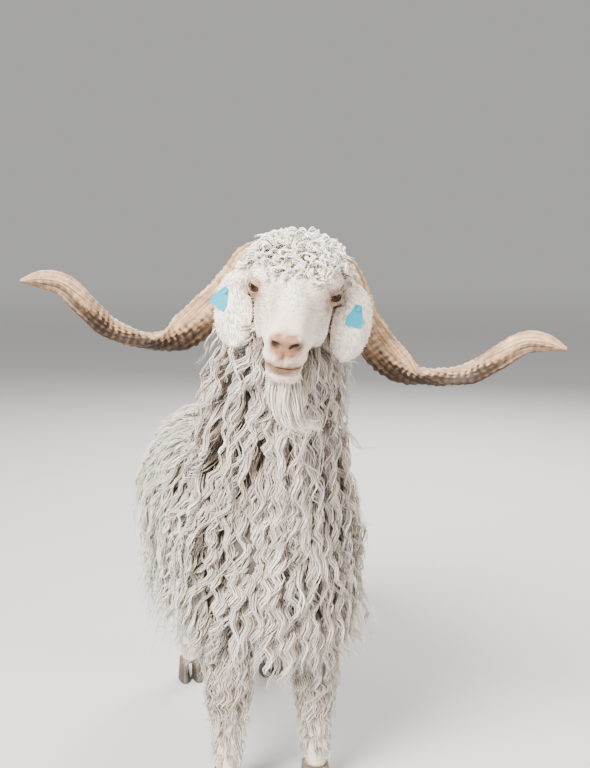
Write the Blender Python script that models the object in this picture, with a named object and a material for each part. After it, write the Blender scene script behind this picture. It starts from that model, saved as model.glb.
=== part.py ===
"""Angora goat, a mature horned buck standing on four feet with its head held high.

Metres, +Z up. The head points to -Y, the goat's left side is +X, the floor is z = 0.
"""
import math
import random

import bmesh
import bpy
from mathutils import Matrix, Vector

# Clearances that neighbouring nodes and neighbouring coats keep, and the coat's seed
JOINT_GAP = 0.0003
COAT_GAP = 0.0006
COAT_SEED = 11

# Share of the triangles kept after a coat is fused
SLIM_SHARE = 0.54

# Where the head is held, its axes from between the eyes: left, back and crown
EYE_MIDPOINT = Vector((0.010, -0.330, 1.070))
HEAD_TURN = math.radians(-13)
HEAD_ROLL = math.radians(7)
HEAD_PITCH = math.radians(19)

# Size of this buck's head and ears against the lengths below
HEAD_SIZE = 1.08

# Skull and flesh: along the head, top, bottom, upper and lower half width
HEAD_STATIONS = (
    (-0.186, -0.022, -0.046, 0.013, 0.012),
    (-0.180, -0.007, -0.064, 0.024, 0.020),
    (-0.168, 0.001, -0.080, 0.033, 0.029),
    (-0.150, 0.009, -0.089, 0.036, 0.032),
    (-0.120, 0.017, -0.080, 0.039, 0.036),
    (-0.090, 0.027, -0.080, 0.042, 0.044),
    (-0.060, 0.035, -0.090, 0.050, 0.053),
    (-0.030, 0.042, -0.102, 0.062, 0.060),
    (0.010, 0.048, -0.114, 0.071, 0.062),
    (0.050, 0.045, -0.110, 0.064, 0.058),
    (0.085, 0.022, -0.090, 0.054, 0.050),
    (0.105, -0.010, -0.065, 0.036, 0.034),
)
HEAD_SQUARENESS = 0.80

# Eyes and lids
EYE_RADIUS = 0.0165
EYE_CENTER = Vector((0.0600, 0.002, 0.000))
EYE_AIM = Vector((0.74, -0.66, 0.06)).normalized()
LID_RADIUS = 0.0200
LID_OPENING = (0.0148, 0.0068)

# Ears hang beside the cheeks: path across, back, up, then half width and cup depth
EAR_STATIONS = (
    (0.00, 0.064, 0.024, 0.008, 0.012, 0.003),
    (0.15, 0.084, 0.024, 0.012, 0.018, 0.006),
    (0.32, 0.106, 0.024, -0.006, 0.029, 0.012),
    (0.55, 0.109, 0.024, -0.044, 0.037, 0.015),
    (0.78, 0.104, 0.020, -0.084, 0.034, 0.013),
    (0.93, 0.097, 0.019, -0.108, 0.025, 0.010),
    (1.00, 0.094, 0.019, -0.119, 0.012, 0.006),
)
EAR_THICKNESS = 0.0045
EAR_FACING = Vector((0.42, -0.90, 0.10)).normalized()

# Horns: path left, back, crown, then broad and narrow width, and twist in degrees
HORN_STATIONS = (
    (0.00, 0.036, 0.056, 0.004, 0.054, 0.036, -75),
    (0.08, 0.059, 0.088, 0.024, 0.058, 0.034, -65),
    (0.16, 0.089, 0.112, 0.000, 0.070, 0.035, -35),
    (0.27, 0.118, 0.125, -0.068, 0.084, 0.040, 5),
    (0.38, 0.169, 0.127, -0.135, 0.086, 0.038, 12),
    (0.49, 0.226, 0.112, -0.180, 0.082, 0.036, 22),
    (0.60, 0.286, 0.090, -0.183, 0.064, 0.034, 66),
    (0.72, 0.353, 0.069, -0.153, 0.053, 0.032, 110),
    (0.81, 0.393, 0.052, -0.109, 0.048, 0.030, 134),
    (0.89, 0.436, 0.045, -0.066, 0.045, 0.028, 158),
    (0.96, 0.477, 0.034, -0.055, 0.036, 0.024, 170),
    (1.00, 0.512, 0.022, -0.058, 0.010, 0.009, 180),
)

# How much higher each horn's first bend is: right, then left
HORN_SWAY = {-1: 0.012, 1: -0.014}

# Topknot of curls over the crown, and the beard under the chin
CURL_ROWS = 4
CURL_COLUMNS = 5
CURL_RADIUS = 0.031
BEARD_LOCKS = 7
BEARD_LENGTH = 0.125

# Ear tags
TAG_WIDTH = 0.034
TAG_HEIGHT = 0.036
TAG_THICKNESS = 0.0018
TAG_PIN_RADIUS = 0.0028
TAG_TILT = {-1: math.radians(-25), 1: math.radians(-8)}

# Neck from the poll to the chest: back, up, half width, half depth
NECK_STATIONS = (
    (0.00, -0.268, 1.100, 0.046, 0.044),
    (0.16, -0.222, 1.030, 0.072, 0.078),
    (0.38, -0.188, 0.930, 0.084, 0.094),
    (0.64, -0.148, 0.820, 0.098, 0.112),
    (0.88, -0.092, 0.700, 0.114, 0.150),
    (1.00, -0.030, 0.600, 0.120, 0.160),
)
NECK_LENGTH = 0.545
NECK_COAT = 0.062
NECK_COAT_AT_HEAD = 0.024
CORE_SHARE = 0.42
TORSO_RINGS = 12

# Locks of the neck: rows down it, locks round it, and the size of one
NECK_LOCK_ROWS = (0.17, 0.39, 0.61, 0.83)
NECK_LOCKS_ROUND = 8
NECK_LOCK_LENGTH = 0.165
NECK_LOCK_HALF_WIDTH = 0.050
LOCK_THICKNESS = 0.013
LOCK_SINK = 0.020
LOCK_STEPS = 5
LOCK_WAVE = 0.022

# Torso along the body: half width, bottom and top of the skin
TORSO_STATIONS = (
    (-0.245, 0.060, 0.500, 0.630),
    (-0.220, 0.100, 0.440, 0.690),
    (-0.120, 0.128, 0.385, 0.740),
    (0.000, 0.146, 0.365, 0.738),
    (0.150, 0.166, 0.360, 0.720),
    (0.300, 0.176, 0.370, 0.712),
    (0.420, 0.166, 0.395, 0.712),
    (0.500, 0.144, 0.430, 0.700),
    (0.565, 0.105, 0.490, 0.675),
    (0.600, 0.055, 0.550, 0.640),
)
TORSO_COAT_BACK = 0.045
TORSO_COAT_SIDE = 0.085
NECK_BASE_CENTER = Vector((0.0, -0.135, 0.670))
NECK_BASE_NORMAL = Vector((0.0, -0.632, 0.775))
NECK_BASE_SIZE = 0.50

# Locks of the torso: rows by degrees from the spine with their length, and columns
TORSO_LOCK_ROWS = ((7, 0.160), (44, 0.165), (81, 0.170), (116, 0.165))
TORSO_LOCK_COLUMNS = 6
TORSO_LOCK_FIRST = -0.055
TORSO_LOCK_SPACING = 0.115
TORSO_LOCK_HALF_WIDTH = 0.055
BELLY_LOCK_LENGTH = 0.110
RUMP_LOCK_ROWS = ((0.655, 0.060), (0.550, 0.090))
RUMP_LOCK_LENGTH = 0.150
CHEST_LOCK_ROWS = ((0.590, 0.120, 5), (0.485, 0.085, 4))
CHEST_LOCK_LENGTH = 0.165

# Locks of the legs and the tail
LEG_LOCK_ROWS = (0.20, 0.50)
LEG_LOCKS_ROUND = 3
LEG_LOCK_LENGTH = 0.110
LEG_LOCK_HALF_WIDTH = 0.036
TAIL_LOCK_LENGTH = 0.100

# Upper limbs inside the torso: centre and radii
SHOULDER = (Vector((0.088, -0.105, 0.450)), Vector((0.066, 0.095, 0.130)))
THIGH = (Vector((0.098, 0.425, 0.475)), Vector((0.080, 0.125, 0.145)))

# Legs: across, back, up, half width and half depth of the woolly leg
FORELEG_STATIONS = (
    (0.00, 0.088, -0.118, 0.400, 0.046, 0.056),
    (0.25, 0.090, -0.120, 0.325, 0.044, 0.052),
    (0.50, 0.092, -0.128, 0.240, 0.038, 0.043),
    (0.72, 0.093, -0.124, 0.160, 0.031, 0.034),
    (0.90, 0.094, -0.126, 0.090, 0.033, 0.037),
    (1.00, 0.094, -0.132, 0.052, 0.029, 0.033),
)
HINDLEG_STATIONS = (
    (0.00, 0.100, 0.440, 0.425, 0.060, 0.078),
    (0.22, 0.104, 0.478, 0.350, 0.050, 0.064),
    (0.44, 0.108, 0.536, 0.275, 0.038, 0.047),
    (0.60, 0.109, 0.545, 0.215, 0.033, 0.039),
    (0.75, 0.108, 0.528, 0.150, 0.031, 0.035),
    (0.90, 0.107, 0.512, 0.090, 0.033, 0.037),
    (1.00, 0.107, 0.502, 0.052, 0.029, 0.033),
)

# Hooves: one claw's half width, its reach to toe and heel, and its height
CLAW_HALF_WIDTH = 0.0155
CLAW_SPACING = 0.0175
CLAW_TOE = 0.046
CLAW_HEEL = 0.026
CLAW_HEIGHT = 0.050

# Tail: back, up, half width, half depth
TAIL_STATIONS = (
    (0.00, 0.575, 0.640, 0.026, 0.020),
    (0.40, 0.628, 0.640, 0.024, 0.018),
    (0.75, 0.665, 0.610, 0.020, 0.014),
    (1.00, 0.680, 0.570, 0.010, 0.008),
)

# Colours: base colour and roughness
FLEECE_COLOR = ((0.74, 0.68, 0.57), 0.90)
FACE_COLOR = ((0.83, 0.79, 0.72), 0.80)
HORN_COLOR = ((0.42, 0.31, 0.20), 0.55)
EYE_COLOR = ((0.35, 0.22, 0.08), 0.15)
HOOF_COLOR = ((0.16, 0.13, 0.10), 0.50)
TAG_COLOR = ((0.10, 0.66, 0.80), 0.40)


def clear_scene():
    """Take every object out of the scene."""
    for thing in list(bpy.data.objects):
        bpy.data.objects.remove(thing, do_unlink=True)


def read_table(table, position):
    """Read a table of rows that start with a position, smoothly between its rows."""
    last = len(table) - 1
    index = 0
    while index < last - 1 and position > table[index + 1][0]:
        index += 1
    start = table[index]
    end = table[index + 1]
    before = table[max(index - 1, 0)]
    after = table[min(index + 2, last)]
    span = end[0] - start[0]
    share = min(max((position - start[0]) / span, 0.0), 1.0)
    values = []
    for column in range(1, len(start)):
        leave = span * (end[column] - before[column]) / (end[0] - before[0])
        arrive = span * (after[column] - start[column]) / (after[0] - start[0])
        values.append(
            start[column] * (1 + 2 * share) * (1 - share) ** 2
            + leave * share * (1 - share) ** 2
            + end[column] * share ** 2 * (3 - 2 * share)
            + arrive * share ** 2 * (share - 1)
        )
    return values


def signed_power(value, exponent):
    """Raise the size of a number to a power and keep its sign."""
    return math.copysign(abs(value) ** exponent, value)


def oval_ring(center, across, up, half_across, half_up, count, squareness=1.0):
    """Points of an oval about a centre, squarer as squareness falls below one."""
    ring = []
    for step in range(count):
        angle = 2 * math.pi * step / count
        side = signed_power(math.cos(angle), squareness) * half_across
        rise = signed_power(math.sin(angle), squareness) * half_up
        ring.append(center + across * side + up * rise)
    return ring


def loft(name, rings, grow=0.0):
    """Join equal rings of points into one closed mesh, grown outward by a clearance."""
    shape = bmesh.new()
    rows = [[shape.verts.new(point) for point in ring] for ring in rings]
    for row, following in zip(rows, rows[1:]):
        for index, vert in enumerate(row):
            beside = (index + 1) % len(row)
            shape.faces.new((vert, row[beside], following[beside], following[index]))
    shape.faces.new(rows[0])
    shape.faces.new(list(reversed(rows[-1])))
    return finish_mesh(name, shape, grow)


def ellipsoid(name, center, radii, turn=None, grow=0.0, segments=12, rings=8):
    """A closed ball stretched to three radii and turned about its centre."""
    shape = bmesh.new()
    bmesh.ops.create_uvsphere(shape, u_segments=segments, v_segments=rings, radius=1.0)
    spread = Matrix.Diagonal((*radii, 1.0))
    place = Matrix.Translation(center) @ (turn or Matrix.Identity(4)) @ spread
    bmesh.ops.transform(shape, matrix=place, verts=shape.verts)
    return finish_mesh(name, shape, grow)


def finish_mesh(name, shape, grow):
    """Turn a mesh outward, grow it by a clearance and put it in the scene."""
    bmesh.ops.recalc_face_normals(shape, faces=shape.faces)
    bmesh.ops.triangulate(shape, faces=shape.faces)
    if grow:
        shape.normal_update()
        moves = [vert.normal * grow * vert.calc_shell_factor() for vert in shape.verts]
        for vert, move in zip(shape.verts, moves):
            vert.co += move
    mesh = bpy.data.meshes.new(name)
    shape.to_mesh(mesh)
    shape.free()
    thing = bpy.data.objects.new(name, mesh)
    bpy.context.scene.collection.objects.link(thing)
    return thing


def combine(base, pieces, operation):
    """Fuse pieces with a base, or cut them from it, and take the pieces away."""
    group = bpy.data.collections.new(base.name + " pieces")
    bpy.context.scene.collection.children.link(group)
    for piece in pieces:
        group.objects.link(piece)
    change = base.modifiers.new(operation, "BOOLEAN")
    change.operation = operation
    change.solver = "MANIFOLD"
    change.operand_type = "COLLECTION"
    change.collection = group
    bpy.context.view_layer.objects.active = base
    bpy.ops.object.modifier_apply(modifier=change.name)
    for piece in pieces:
        bpy.data.objects.remove(piece, do_unlink=True)
    bpy.data.collections.remove(group)
    return base


def slim(thing, share):
    """Take out the smallest triangles that fusing leaves, keeping a share of all."""
    change = thing.modifiers.new("slim", "DECIMATE")
    change.ratio = share
    change.use_collapse_triangulate = True
    bpy.context.view_layer.objects.active = thing
    bpy.ops.object.modifier_apply(modifier=change.name)
    return thing


def loose_parts(shape):
    """Group the faces of a mesh by the closed surface that they belong to."""
    groups = []
    seen = set()
    for start in shape.faces:
        if start in seen:
            continue
        seen.add(start)
        group = [start]
        for face in group:
            for edge in face.edges:
                for beside in edge.link_faces:
                    if beside not in seen:
                        seen.add(beside)
                        group.append(beside)
        groups.append(group)
    return groups


def spread_of(group):
    """How far a closed surface reaches, to tell a body from a scrap."""
    points = [vert.co for face in group for vert in face.verts]
    low = Vector([min(point[axis] for point in points) for axis in range(3)])
    high = Vector([max(point[axis] for point in points) for axis in range(3)])
    return (high - low).length


def keep_largest(thing):
    """Keep only the closed surface of an object that reaches furthest."""
    shape = bmesh.new()
    shape.from_mesh(thing.data)
    groups = sorted(loose_parts(shape), key=spread_of, reverse=True)
    unwanted = [face for group in groups[1:] for face in group]
    bmesh.ops.delete(shape, geom=unwanted, context="FACES")
    shape.to_mesh(thing.data)
    shape.free()
    return thing


def head_place():
    """Head axes turned, rolled and pitched about the point between the eyes."""
    return level_head_place() @ Matrix.Rotation(HEAD_PITCH, 4, "X")


def horn_place():
    """Head axes for the horns, whose lengths are their own."""
    return head_place() @ Matrix.Scale(1 / HEAD_SIZE, 4)


def level_head_place():
    """Head axes turned and rolled, not pitched, for what hangs from the head."""
    turn = Matrix.Rotation(HEAD_TURN, 4, "Z")
    roll = Matrix.Rotation(HEAD_ROLL, 4, "Y")
    return Matrix.Translation(EYE_MIDPOINT) @ turn @ roll @ Matrix.Scale(HEAD_SIZE, 4)


def place_points(thing, matrix):
    """Move an object's own points by a matrix."""
    thing.data.transform(matrix)
    return thing


def mirrored(vector, side):
    """A vector of the left side, or its mirror image on the right."""
    return Vector((vector.x * side, vector.y, vector.z))


def head_ring(back):
    """One section of the head, wider above or below as the table says."""
    top, bottom, upper, lower = read_table(HEAD_STATIONS, back)
    ring = []
    for step in range(16):
        angle = 2 * math.pi * step / 16
        rise = signed_power(math.sin(angle), HEAD_SQUARENESS)
        side = signed_power(math.cos(angle), HEAD_SQUARENESS)
        half = lower + (upper - lower) * (rise + 1) / 2
        ring.append(Vector((half * side, back, (top + bottom) / 2 + rise * (top - bottom) / 2)))
    return ring


def head_flesh(grow=0.0):
    """Skull, jaw, brows and muzzle in head axes, before the fine cuts."""
    count = 15
    first = HEAD_STATIONS[0][0]
    length = HEAD_STATIONS[-1][0] - first
    rings = []
    for step in range(count):
        share = (1 - math.cos(math.pi * step / (count - 1))) / 2
        rings.append(head_ring(first + length * (0.45 * share + 0.55 * step / (count - 1))))
    head = loft("head", rings, grow)
    pieces = []
    for side in (-1, 1):
        ridge = Vector((0.054 * side, 0.012, 0.024))
        pieces.append(ellipsoid("brow", ridge, (0.023, 0.034, 0.020), None, grow, 10, 6))
        cheek = Vector((0.042 * side, 0.012, -0.066))
        pieces.append(ellipsoid("cheek", cheek, (0.024, 0.050, 0.044), None, grow, 10, 6))
        wing = Vector((0.0155 * side, -0.169, -0.014))
        pieces.append(ellipsoid("nostril wing", wing, (0.015, 0.014, 0.013), None, grow, 8, 5))
        lid = mirrored(EYE_CENTER, side)
        pieces.append(ellipsoid("lids", lid, (LID_RADIUS,) * 3, None, grow, 12, 8))
    lip = Vector((0.0, -0.156, -0.074))
    pieces.append(ellipsoid("lower lip", lip, (0.023, 0.021, 0.014), None, grow, 10, 6))
    return combine(head, pieces, "UNION")


def lid_opening(side):
    """The almond between the lids, as a cutter along the eye's aim."""
    aim = mirrored(EYE_AIM, side)
    along = aim.cross(Vector((0, 0, 1))).normalized()
    along = (along * side + Vector((0, 0, 0.06))).normalized()
    up = aim.cross(along).normalized()
    center = mirrored(EYE_CENTER, side)
    rings = []
    for reach in (0.009, 0.034):
        widen = 1 + 0.35 * (reach > 0.02)
        ring = []
        for step in range(12):
            angle = 2 * math.pi * step / 12
            length = math.cos(angle) * LID_OPENING[0] * widen
            height = signed_power(math.sin(angle), 1.4) * LID_OPENING[1] * widen
            ring.append(center + aim * reach + along * length + up * height)
        rings.append(ring)
    return loft("lid opening", rings)


def mouth_cut():
    """A thin curved cutter that draws the line of the mouth."""
    rings = []
    for step in range(13):
        angle = math.radians(-112 + 224 * step / 12)
        out = Vector((math.sin(angle), -math.cos(angle), 0))
        rise = -0.055 + 0.010 * (angle / 2) ** 2
        ring = []
        for reach, half in ((0.050, 0.0016), (0.050, -0.0016), (0.026, -0.0006), (0.026, 0.0006)):
            spot = Vector((out.x * reach * 0.85, -0.138 + out.y * reach, rise + half))
            ring.append(spot)
        rings.append(ring)
    return loft("mouth line", rings)


def nostril_cut(side):
    """A slanted nostril, wide inside and rising to the wing."""
    center = Vector((0.0145 * side, -0.184, -0.015))
    slant = Matrix.Rotation(side * math.radians(-28), 4, "Y")
    turn = Matrix.Rotation(side * math.radians(32), 4, "Z")
    return ellipsoid("nostril", center, (0.0085, 0.0090, 0.0034), turn @ slant, 0.0, 10, 6)


def topknot(grow=0.0):
    """Rounded curls set close over the crown and round the horn roots."""
    draw = random.Random(COAT_SEED)
    curls = []
    for layer, lift in ((0, 0.012), (1, 0.042)):
        rows = CURL_ROWS - layer
        for row in range(rows):
            columns = CURL_COLUMNS - layer - (row % 2)
            for column in range(columns):
                side = (column + 0.5) / columns * 2 - 1
                across = side * (0.070 - 0.018 * layer)
                back = -0.034 + 0.018 * layer + row * 0.038 + draw.uniform(-0.005, 0.005)
                back += 0.018 * side ** 2
                top, bottom = read_table(HEAD_STATIONS, min(back, 0.100))[:2]
                fall = 0.030 * abs(side) ** 2.5
                spot = Vector((across, back, top + lift - fall + draw.uniform(-0.004, 0.004)))
                size = CURL_RADIUS * draw.uniform(0.85, 1.15)
                radii = (size * 0.95, size * 1.15, size * 0.80)
                turn = Matrix.Rotation(draw.uniform(-0.9, 0.9), 4, "Z")
                turn = turn @ Matrix.Rotation(draw.uniform(-0.5, 0.5), 4, "X")
                curls.append(ellipsoid("curl", spot, radii, turn, grow, 5, 4))
    return curls


def lock(name, path, facing, half_width, thickness, grow=0.0):
    """A flat tapered lock along a path, its broad side toward the facing vectors."""
    rings = []
    last = len(path) - 1
    for index, point in enumerate(path):
        ahead = (path[min(index + 1, last)] - path[max(index - 1, 0)]).normalized()
        across = ahead.cross(facing[index]).normalized()
        out = across.cross(ahead).normalized()
        share = index / last
        taper = min(1.0, 0.75 + share) * (1 - share ** 3.0) + 0.05
        wide = across * half_width * taper
        thick = out * thickness * (0.30 + 0.70 * taper)
        rings.append([point + wide, point + thick, point - wide, point - thick * 0.7])
    return loft(name, rings, grow)


def beard(grow=0.0):
    """Locks that hang from the chin and the jaw's underside, in head place."""
    draw = random.Random(COAT_SEED + 1)
    level = level_head_place()
    place = head_place()
    down = Vector((0.0, 0.10, -1.0)).normalized()
    locks = []
    for number in range(BEARD_LOCKS):
        turn = 2 * math.pi * number / BEARD_LOCKS
        root = Vector((0.015 * math.sin(turn), -0.136 - 0.016 * math.cos(turn), -0.074))
        start = place @ root
        out = (level.to_3x3() @ Vector((math.sin(turn), -math.cos(turn), 0))).normalized()
        length = BEARD_LENGTH * draw.uniform(0.8, 1.05)
        path = []
        for step in range(LOCK_STEPS):
            share = step / (LOCK_STEPS - 1)
            wave = math.sin(share * 6.0 + number) * 0.007 * share
            spot = start + down * length * share + out * (0.010 * math.sin(share * math.pi))
            path.append(spot + Vector((wave + 0.010 * share ** 2, 0, 0)))
        locks.append(lock("beard lock", path, [out] * LOCK_STEPS, 0.015, 0.008, grow))
    return locks


def build_head():
    """The head with its lids, mouth, nostrils, topknot and beard."""
    place = head_place()
    head = place_points(head_flesh(), place)
    curls = [place_points(curl, place) for curl in topknot()]
    combine(head, curls + beard(), "UNION")
    slim(head, SLIM_SHARE)
    cuts = [mouth_cut()]
    for side in (-1, 1):
        socket = mirrored(EYE_CENTER, side)
        cuts.append(ellipsoid("socket", socket, (EYE_RADIUS,) * 3, None, JOINT_GAP, 12, 8))
        cuts.append(lid_opening(side))
        cuts.append(nostril_cut(side))
    cuts = [place_points(cut, place) for cut in cuts]
    for side in (-1, 1):
        cuts.append(horn(side, JOINT_GAP))
        cuts.append(ear(side, JOINT_GAP))
    combine(head, cuts, "DIFFERENCE")
    return keep_largest(head)


def build_eye(side, name):
    """One eyeball in its socket."""
    ball = ellipsoid(name, mirrored(EYE_CENTER, side), (EYE_RADIUS,) * 3, None, 0.0, 12, 8)
    return place_points(ball, head_place())


def horn(side, grow=0.0, name="horn"):
    """One horn, a keeled blade that twists half round on its way to the tip."""
    rings = []
    count = 22
    for step in range(count):
        share = step / (count - 1)
        values = read_table(HORN_STATIONS, share)
        center = Vector(values[:3])
        center.z += HORN_SWAY[side] * math.sin(math.pi * min(share / 0.62, 1.0)) ** 2
        ahead = Vector(read_table(HORN_STATIONS, min(share + 0.01, 1.0))[:3])
        behind = Vector(read_table(HORN_STATIONS, max(share - 0.01, 0.0))[:3])
        axis = (ahead - behind).normalized()
        view = Vector((0.0, -1.0, 0.0))
        flat = axis.cross(view).normalized()
        turn = Matrix.Rotation(math.radians(values[5]), 3, axis)
        broad = turn @ flat
        narrow = turn @ flat.cross(axis)
        ripple = 1 + 0.02 * math.sin(step * math.pi)
        ring = []
        for corner in range(10):
            angle = 2 * math.pi * corner / 10
            keel = 1 + 0.16 * math.cos(angle)
            reach = broad * math.cos(angle) * values[3] / 2 * ripple
            depth = narrow * math.sin(angle) * values[4] / 2 * keel
            ring.append(center + reach + depth)
        rings.append([mirrored(point, side) for point in ring])
    return place_points(loft(name, rings, grow), horn_place())


def ear_frame(share, side):
    """Centre, across, outward direction, half width and cup of an ear, level axes."""
    values = read_table(EAR_STATIONS, share)
    center = Vector(values[:3])
    ahead = Vector(read_table(EAR_STATIONS, min(share + 0.02, 1.0))[:3])
    behind = Vector(read_table(EAR_STATIONS, max(share - 0.02, 0.0))[:3])
    axis = (ahead - behind).normalized()
    across = axis.cross(EAR_FACING).normalized()
    out = across.cross(axis).normalized()
    mirror = [mirrored(vector, side) for vector in (center, across, out)]
    return mirror + [values[3], values[4]]


def ear(side, grow=0.0, name="ear"):
    """One hanging ear, a cupped leaf whose round outer side faces forward."""
    rings = []
    for step in range(8):
        center, across, out, half, cup = ear_frame(step / 7, side)
        front = []
        back = []
        for column in range(5):
            spread = column / 4 * 2 - 1
            bend = out * -cup * spread ** 2
            skin = EAR_THICKNESS / 2 * (1 - 0.55 * abs(spread))
            spot = center + across * half * spread + bend
            front.append(spot + out * skin)
            back.append(spot - out * skin)
        rings.append(front + list(reversed(back)))
    return place_points(loft(name, rings, grow), level_head_place())


def build_ear(side, name):
    """One ear with a hole for the pin of its tag."""
    leaf = ear(side, 0.0, name)
    combine(leaf, [tag(side, JOINT_GAP)], "DIFFERENCE")
    return keep_largest(leaf)


def tag(side, grow=0.0, name="tag"):
    """One ear tag: a plate, narrow at its stud, and a pin through the ear to a button."""
    share = 0.40
    center, across, out, half, cup = ear_frame(share, side)
    if side < 0:
        center = center + across * half * -0.30 - out * cup * 0.09
    else:
        center = center + across * half * 0.05
    down = Vector((0.0, 0.0, -1.0))
    tilt = Matrix.Rotation(TAG_TILT[side], 3, out)
    down = tilt @ (down - out * down.dot(out)).normalized()
    wide = down.cross(out).normalized()
    face = center + out * (EAR_THICKNESS / 2 + 0.0012)
    rings = []
    for rise in (0.0, TAG_THICKNESS):
        ring = []
        corners = (
            (-0.22, -0.12), (0.22, -0.12), (0.34, 0.30), (0.50, 0.42),
            (0.50, 0.88), (-0.50, 0.88), (-0.50, 0.42), (-0.34, 0.30),
        )
        for column, row in corners:
            spot = face + wide * TAG_WIDTH * column + down * TAG_HEIGHT * row
            ring.append(spot + out * rise)
        rings.append(ring)
    plate = loft(name, rings, grow)
    stud = []
    levels = (
        (-EAR_THICKNESS - 0.0030, 2.6), (-EAR_THICKNESS - 0.0012, 2.6),
        (-EAR_THICKNESS - 0.0011, 1.0), (TAG_THICKNESS + 0.0008, 1.0),
        (TAG_THICKNESS + 0.0010, 1.7), (TAG_THICKNESS + 0.0024, 1.3),
    )
    for level, scale in levels:
        radius = TAG_PIN_RADIUS * scale
        stud.append(oval_ring(face + out * level, wide, down, radius, radius, 8))
    combine(plate, [loft("stud", stud, grow)], "UNION")
    return place_points(plate, level_head_place())


def neck_frame(share):
    """Centre, axis, front direction and half sizes of the neck's skin."""
    back, up, half_width, half_depth = read_table(NECK_STATIONS, share)
    ahead = read_table(NECK_STATIONS, min(share + 0.02, 1.0))
    behind = read_table(NECK_STATIONS, max(share - 0.02, 0.0))
    axis = Vector((0.0, ahead[0] - behind[0], ahead[1] - behind[1])).normalized()
    front = Vector((1.0, 0.0, 0.0)).cross(axis)
    if front.y > 0:
        front = -front
    return Vector((0.0, back, up)), axis, front, half_width, half_depth


def neck_coat(share):
    """Depth of the neck's coat, short behind the jaw and full from a third down."""
    full = min(share / 0.35, 1.0)
    return NECK_COAT_AT_HEAD + (NECK_COAT - NECK_COAT_AT_HEAD) * full ** 2 * (3 - 2 * full)


def neck_body(grow=0.0):
    """The neck's flesh and inner coat down to its slanting base, with its locks."""
    rings = []
    for step in range(8):
        center, axis, front, half_width, half_depth = neck_frame(step / 7)
        across = Vector((1.0, 0.0, 0.0))
        coat = neck_coat(step / 7) * CORE_SHARE
        wide = half_width + coat
        deep = half_depth + coat
        rings.append(oval_ring(center, across, front, wide, deep, 14, 0.95))
    core = combine(loft("neck", rings, grow), [neck_base_block(grow)], "DIFFERENCE")
    return combine(core, neck_locks(grow), "UNION")


def neck_base_block(grow):
    """A block under the neck's base, to end the neck on a slanting flat."""
    across = Vector((1.0, 0.0, 0.0))
    along = NECK_BASE_NORMAL.cross(across).normalized()
    down = -NECK_BASE_NORMAL.normalized()
    half = NECK_BASE_SIZE / 2
    rings = []
    for level in (grow, NECK_BASE_SIZE):
        center = NECK_BASE_CENTER + down * level
        corners = ((-half, -half), (half, -half), (half, half), (-half, half))
        rings.append([center + across * x + along * y for x, y in corners])
    return loft("neck base", rings)


def torso_skin(back, angle, lift):
    """A point over the torso's skin; the angle runs from the spine to the belly."""
    half_width, bottom, top = read_table(TORSO_STATIONS, back)
    half_height = (top - bottom) / 2
    normal = Vector((math.sin(angle) / half_width, 0.0, math.cos(angle) / half_height))
    normal.normalize()
    side = signed_power(math.sin(angle), 0.92) * half_width
    rise = signed_power(math.cos(angle), 0.92) * half_height
    return Vector((side, back, (top + bottom) / 2 + rise)) + normal * lift, normal


def coat_depth(angle):
    """Depth of the torso's coat, deepest low on the sides."""
    share = (1 - math.cos(min(abs(angle), math.radians(110)) * 180 / 110)) / 2
    return TORSO_COAT_BACK + (TORSO_COAT_SIDE - TORSO_COAT_BACK) * share


def torso_core():
    """The torso's flesh, upper limbs and the inner part of its coat."""
    first = TORSO_STATIONS[0][0]
    length = TORSO_STATIONS[-1][0] - first
    rings = []
    for step in range(TORSO_RINGS):
        ring = []
        for corner in range(16):
            angle = 2 * math.pi * corner / 16 - math.pi
            lift = coat_depth(angle) * CORE_SHARE
            ring.append(torso_skin(first + length * step / (TORSO_RINGS - 1), angle, lift)[0])
        rings.append(ring)
    core = loft("torso", rings)
    pieces = []
    for side in (-1, 1):
        for center, radii in (SHOULDER, THIGH):
            pieces.append(ellipsoid("limb", mirrored(center, side), radii, None, 0.0, 12, 8))
    return combine(core, pieces, "UNION")


def rise_of_lock(share, root, tip):
    """Height of a lock over the skin, from its sunk root to the coat's outside."""
    full = min(share / 0.4, 1.0)
    return root + (tip - root) * full ** 2 * (3 - 2 * full)


def wave_of_lock(share, size, phase):
    """How far a lock swings sideways, more toward its tip."""
    return size * (0.35 + 0.65 * share) * math.sin(share * 6.5 + phase)


def neck_locks(grow):
    """Long wavy locks in rows that hang down round the neck."""
    draw = random.Random(COAT_SEED + 2)
    locks = []
    for row, first in enumerate(NECK_LOCK_ROWS):
        for column in range(NECK_LOCKS_ROUND):
            turn = 2 * math.pi * (column + 0.5 * (row % 2)) / NECK_LOCKS_ROUND
            turn += draw.uniform(-0.06, 0.06)
            length = NECK_LOCK_LENGTH * draw.uniform(0.88, 1.12)
            phase = row * 1.7 + draw.uniform(-0.5, 0.5)
            path = []
            facing = []
            for step in range(LOCK_STEPS):
                part = step / (LOCK_STEPS - 1)
                share = first + draw.uniform(-0.006, 0.006) + part * length / NECK_LENGTH
                center, axis, front, half_width, half_depth = neck_frame(min(share, 1.0))
                center = center + axis * max(share - 1.0, 0.0) * NECK_LENGTH
                angle = math.remainder(turn, 2 * math.pi) * (1 - 0.12 * part)
                out = Vector((math.sin(angle) / half_width, 0, 0))
                out = (out + front * math.cos(angle) / half_depth).normalized()
                coat = neck_coat(min(share, 1.0))
                lift = rise_of_lock(part, coat * CORE_SHARE - LOCK_SINK, coat - 0.009)
                side = axis.cross(out).normalized()
                spot = center + Vector((math.sin(angle) * half_width, 0, 0))
                spot += front * math.cos(angle) * half_depth + out * lift
                path.append(spot + side * wave_of_lock(part, LOCK_WAVE, phase))
                facing.append(out)
            size = NECK_LOCK_HALF_WIDTH * draw.uniform(0.9, 1.15)
            locks.append(lock("neck lock", path, facing, size, LOCK_THICKNESS, grow))
    return locks


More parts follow.
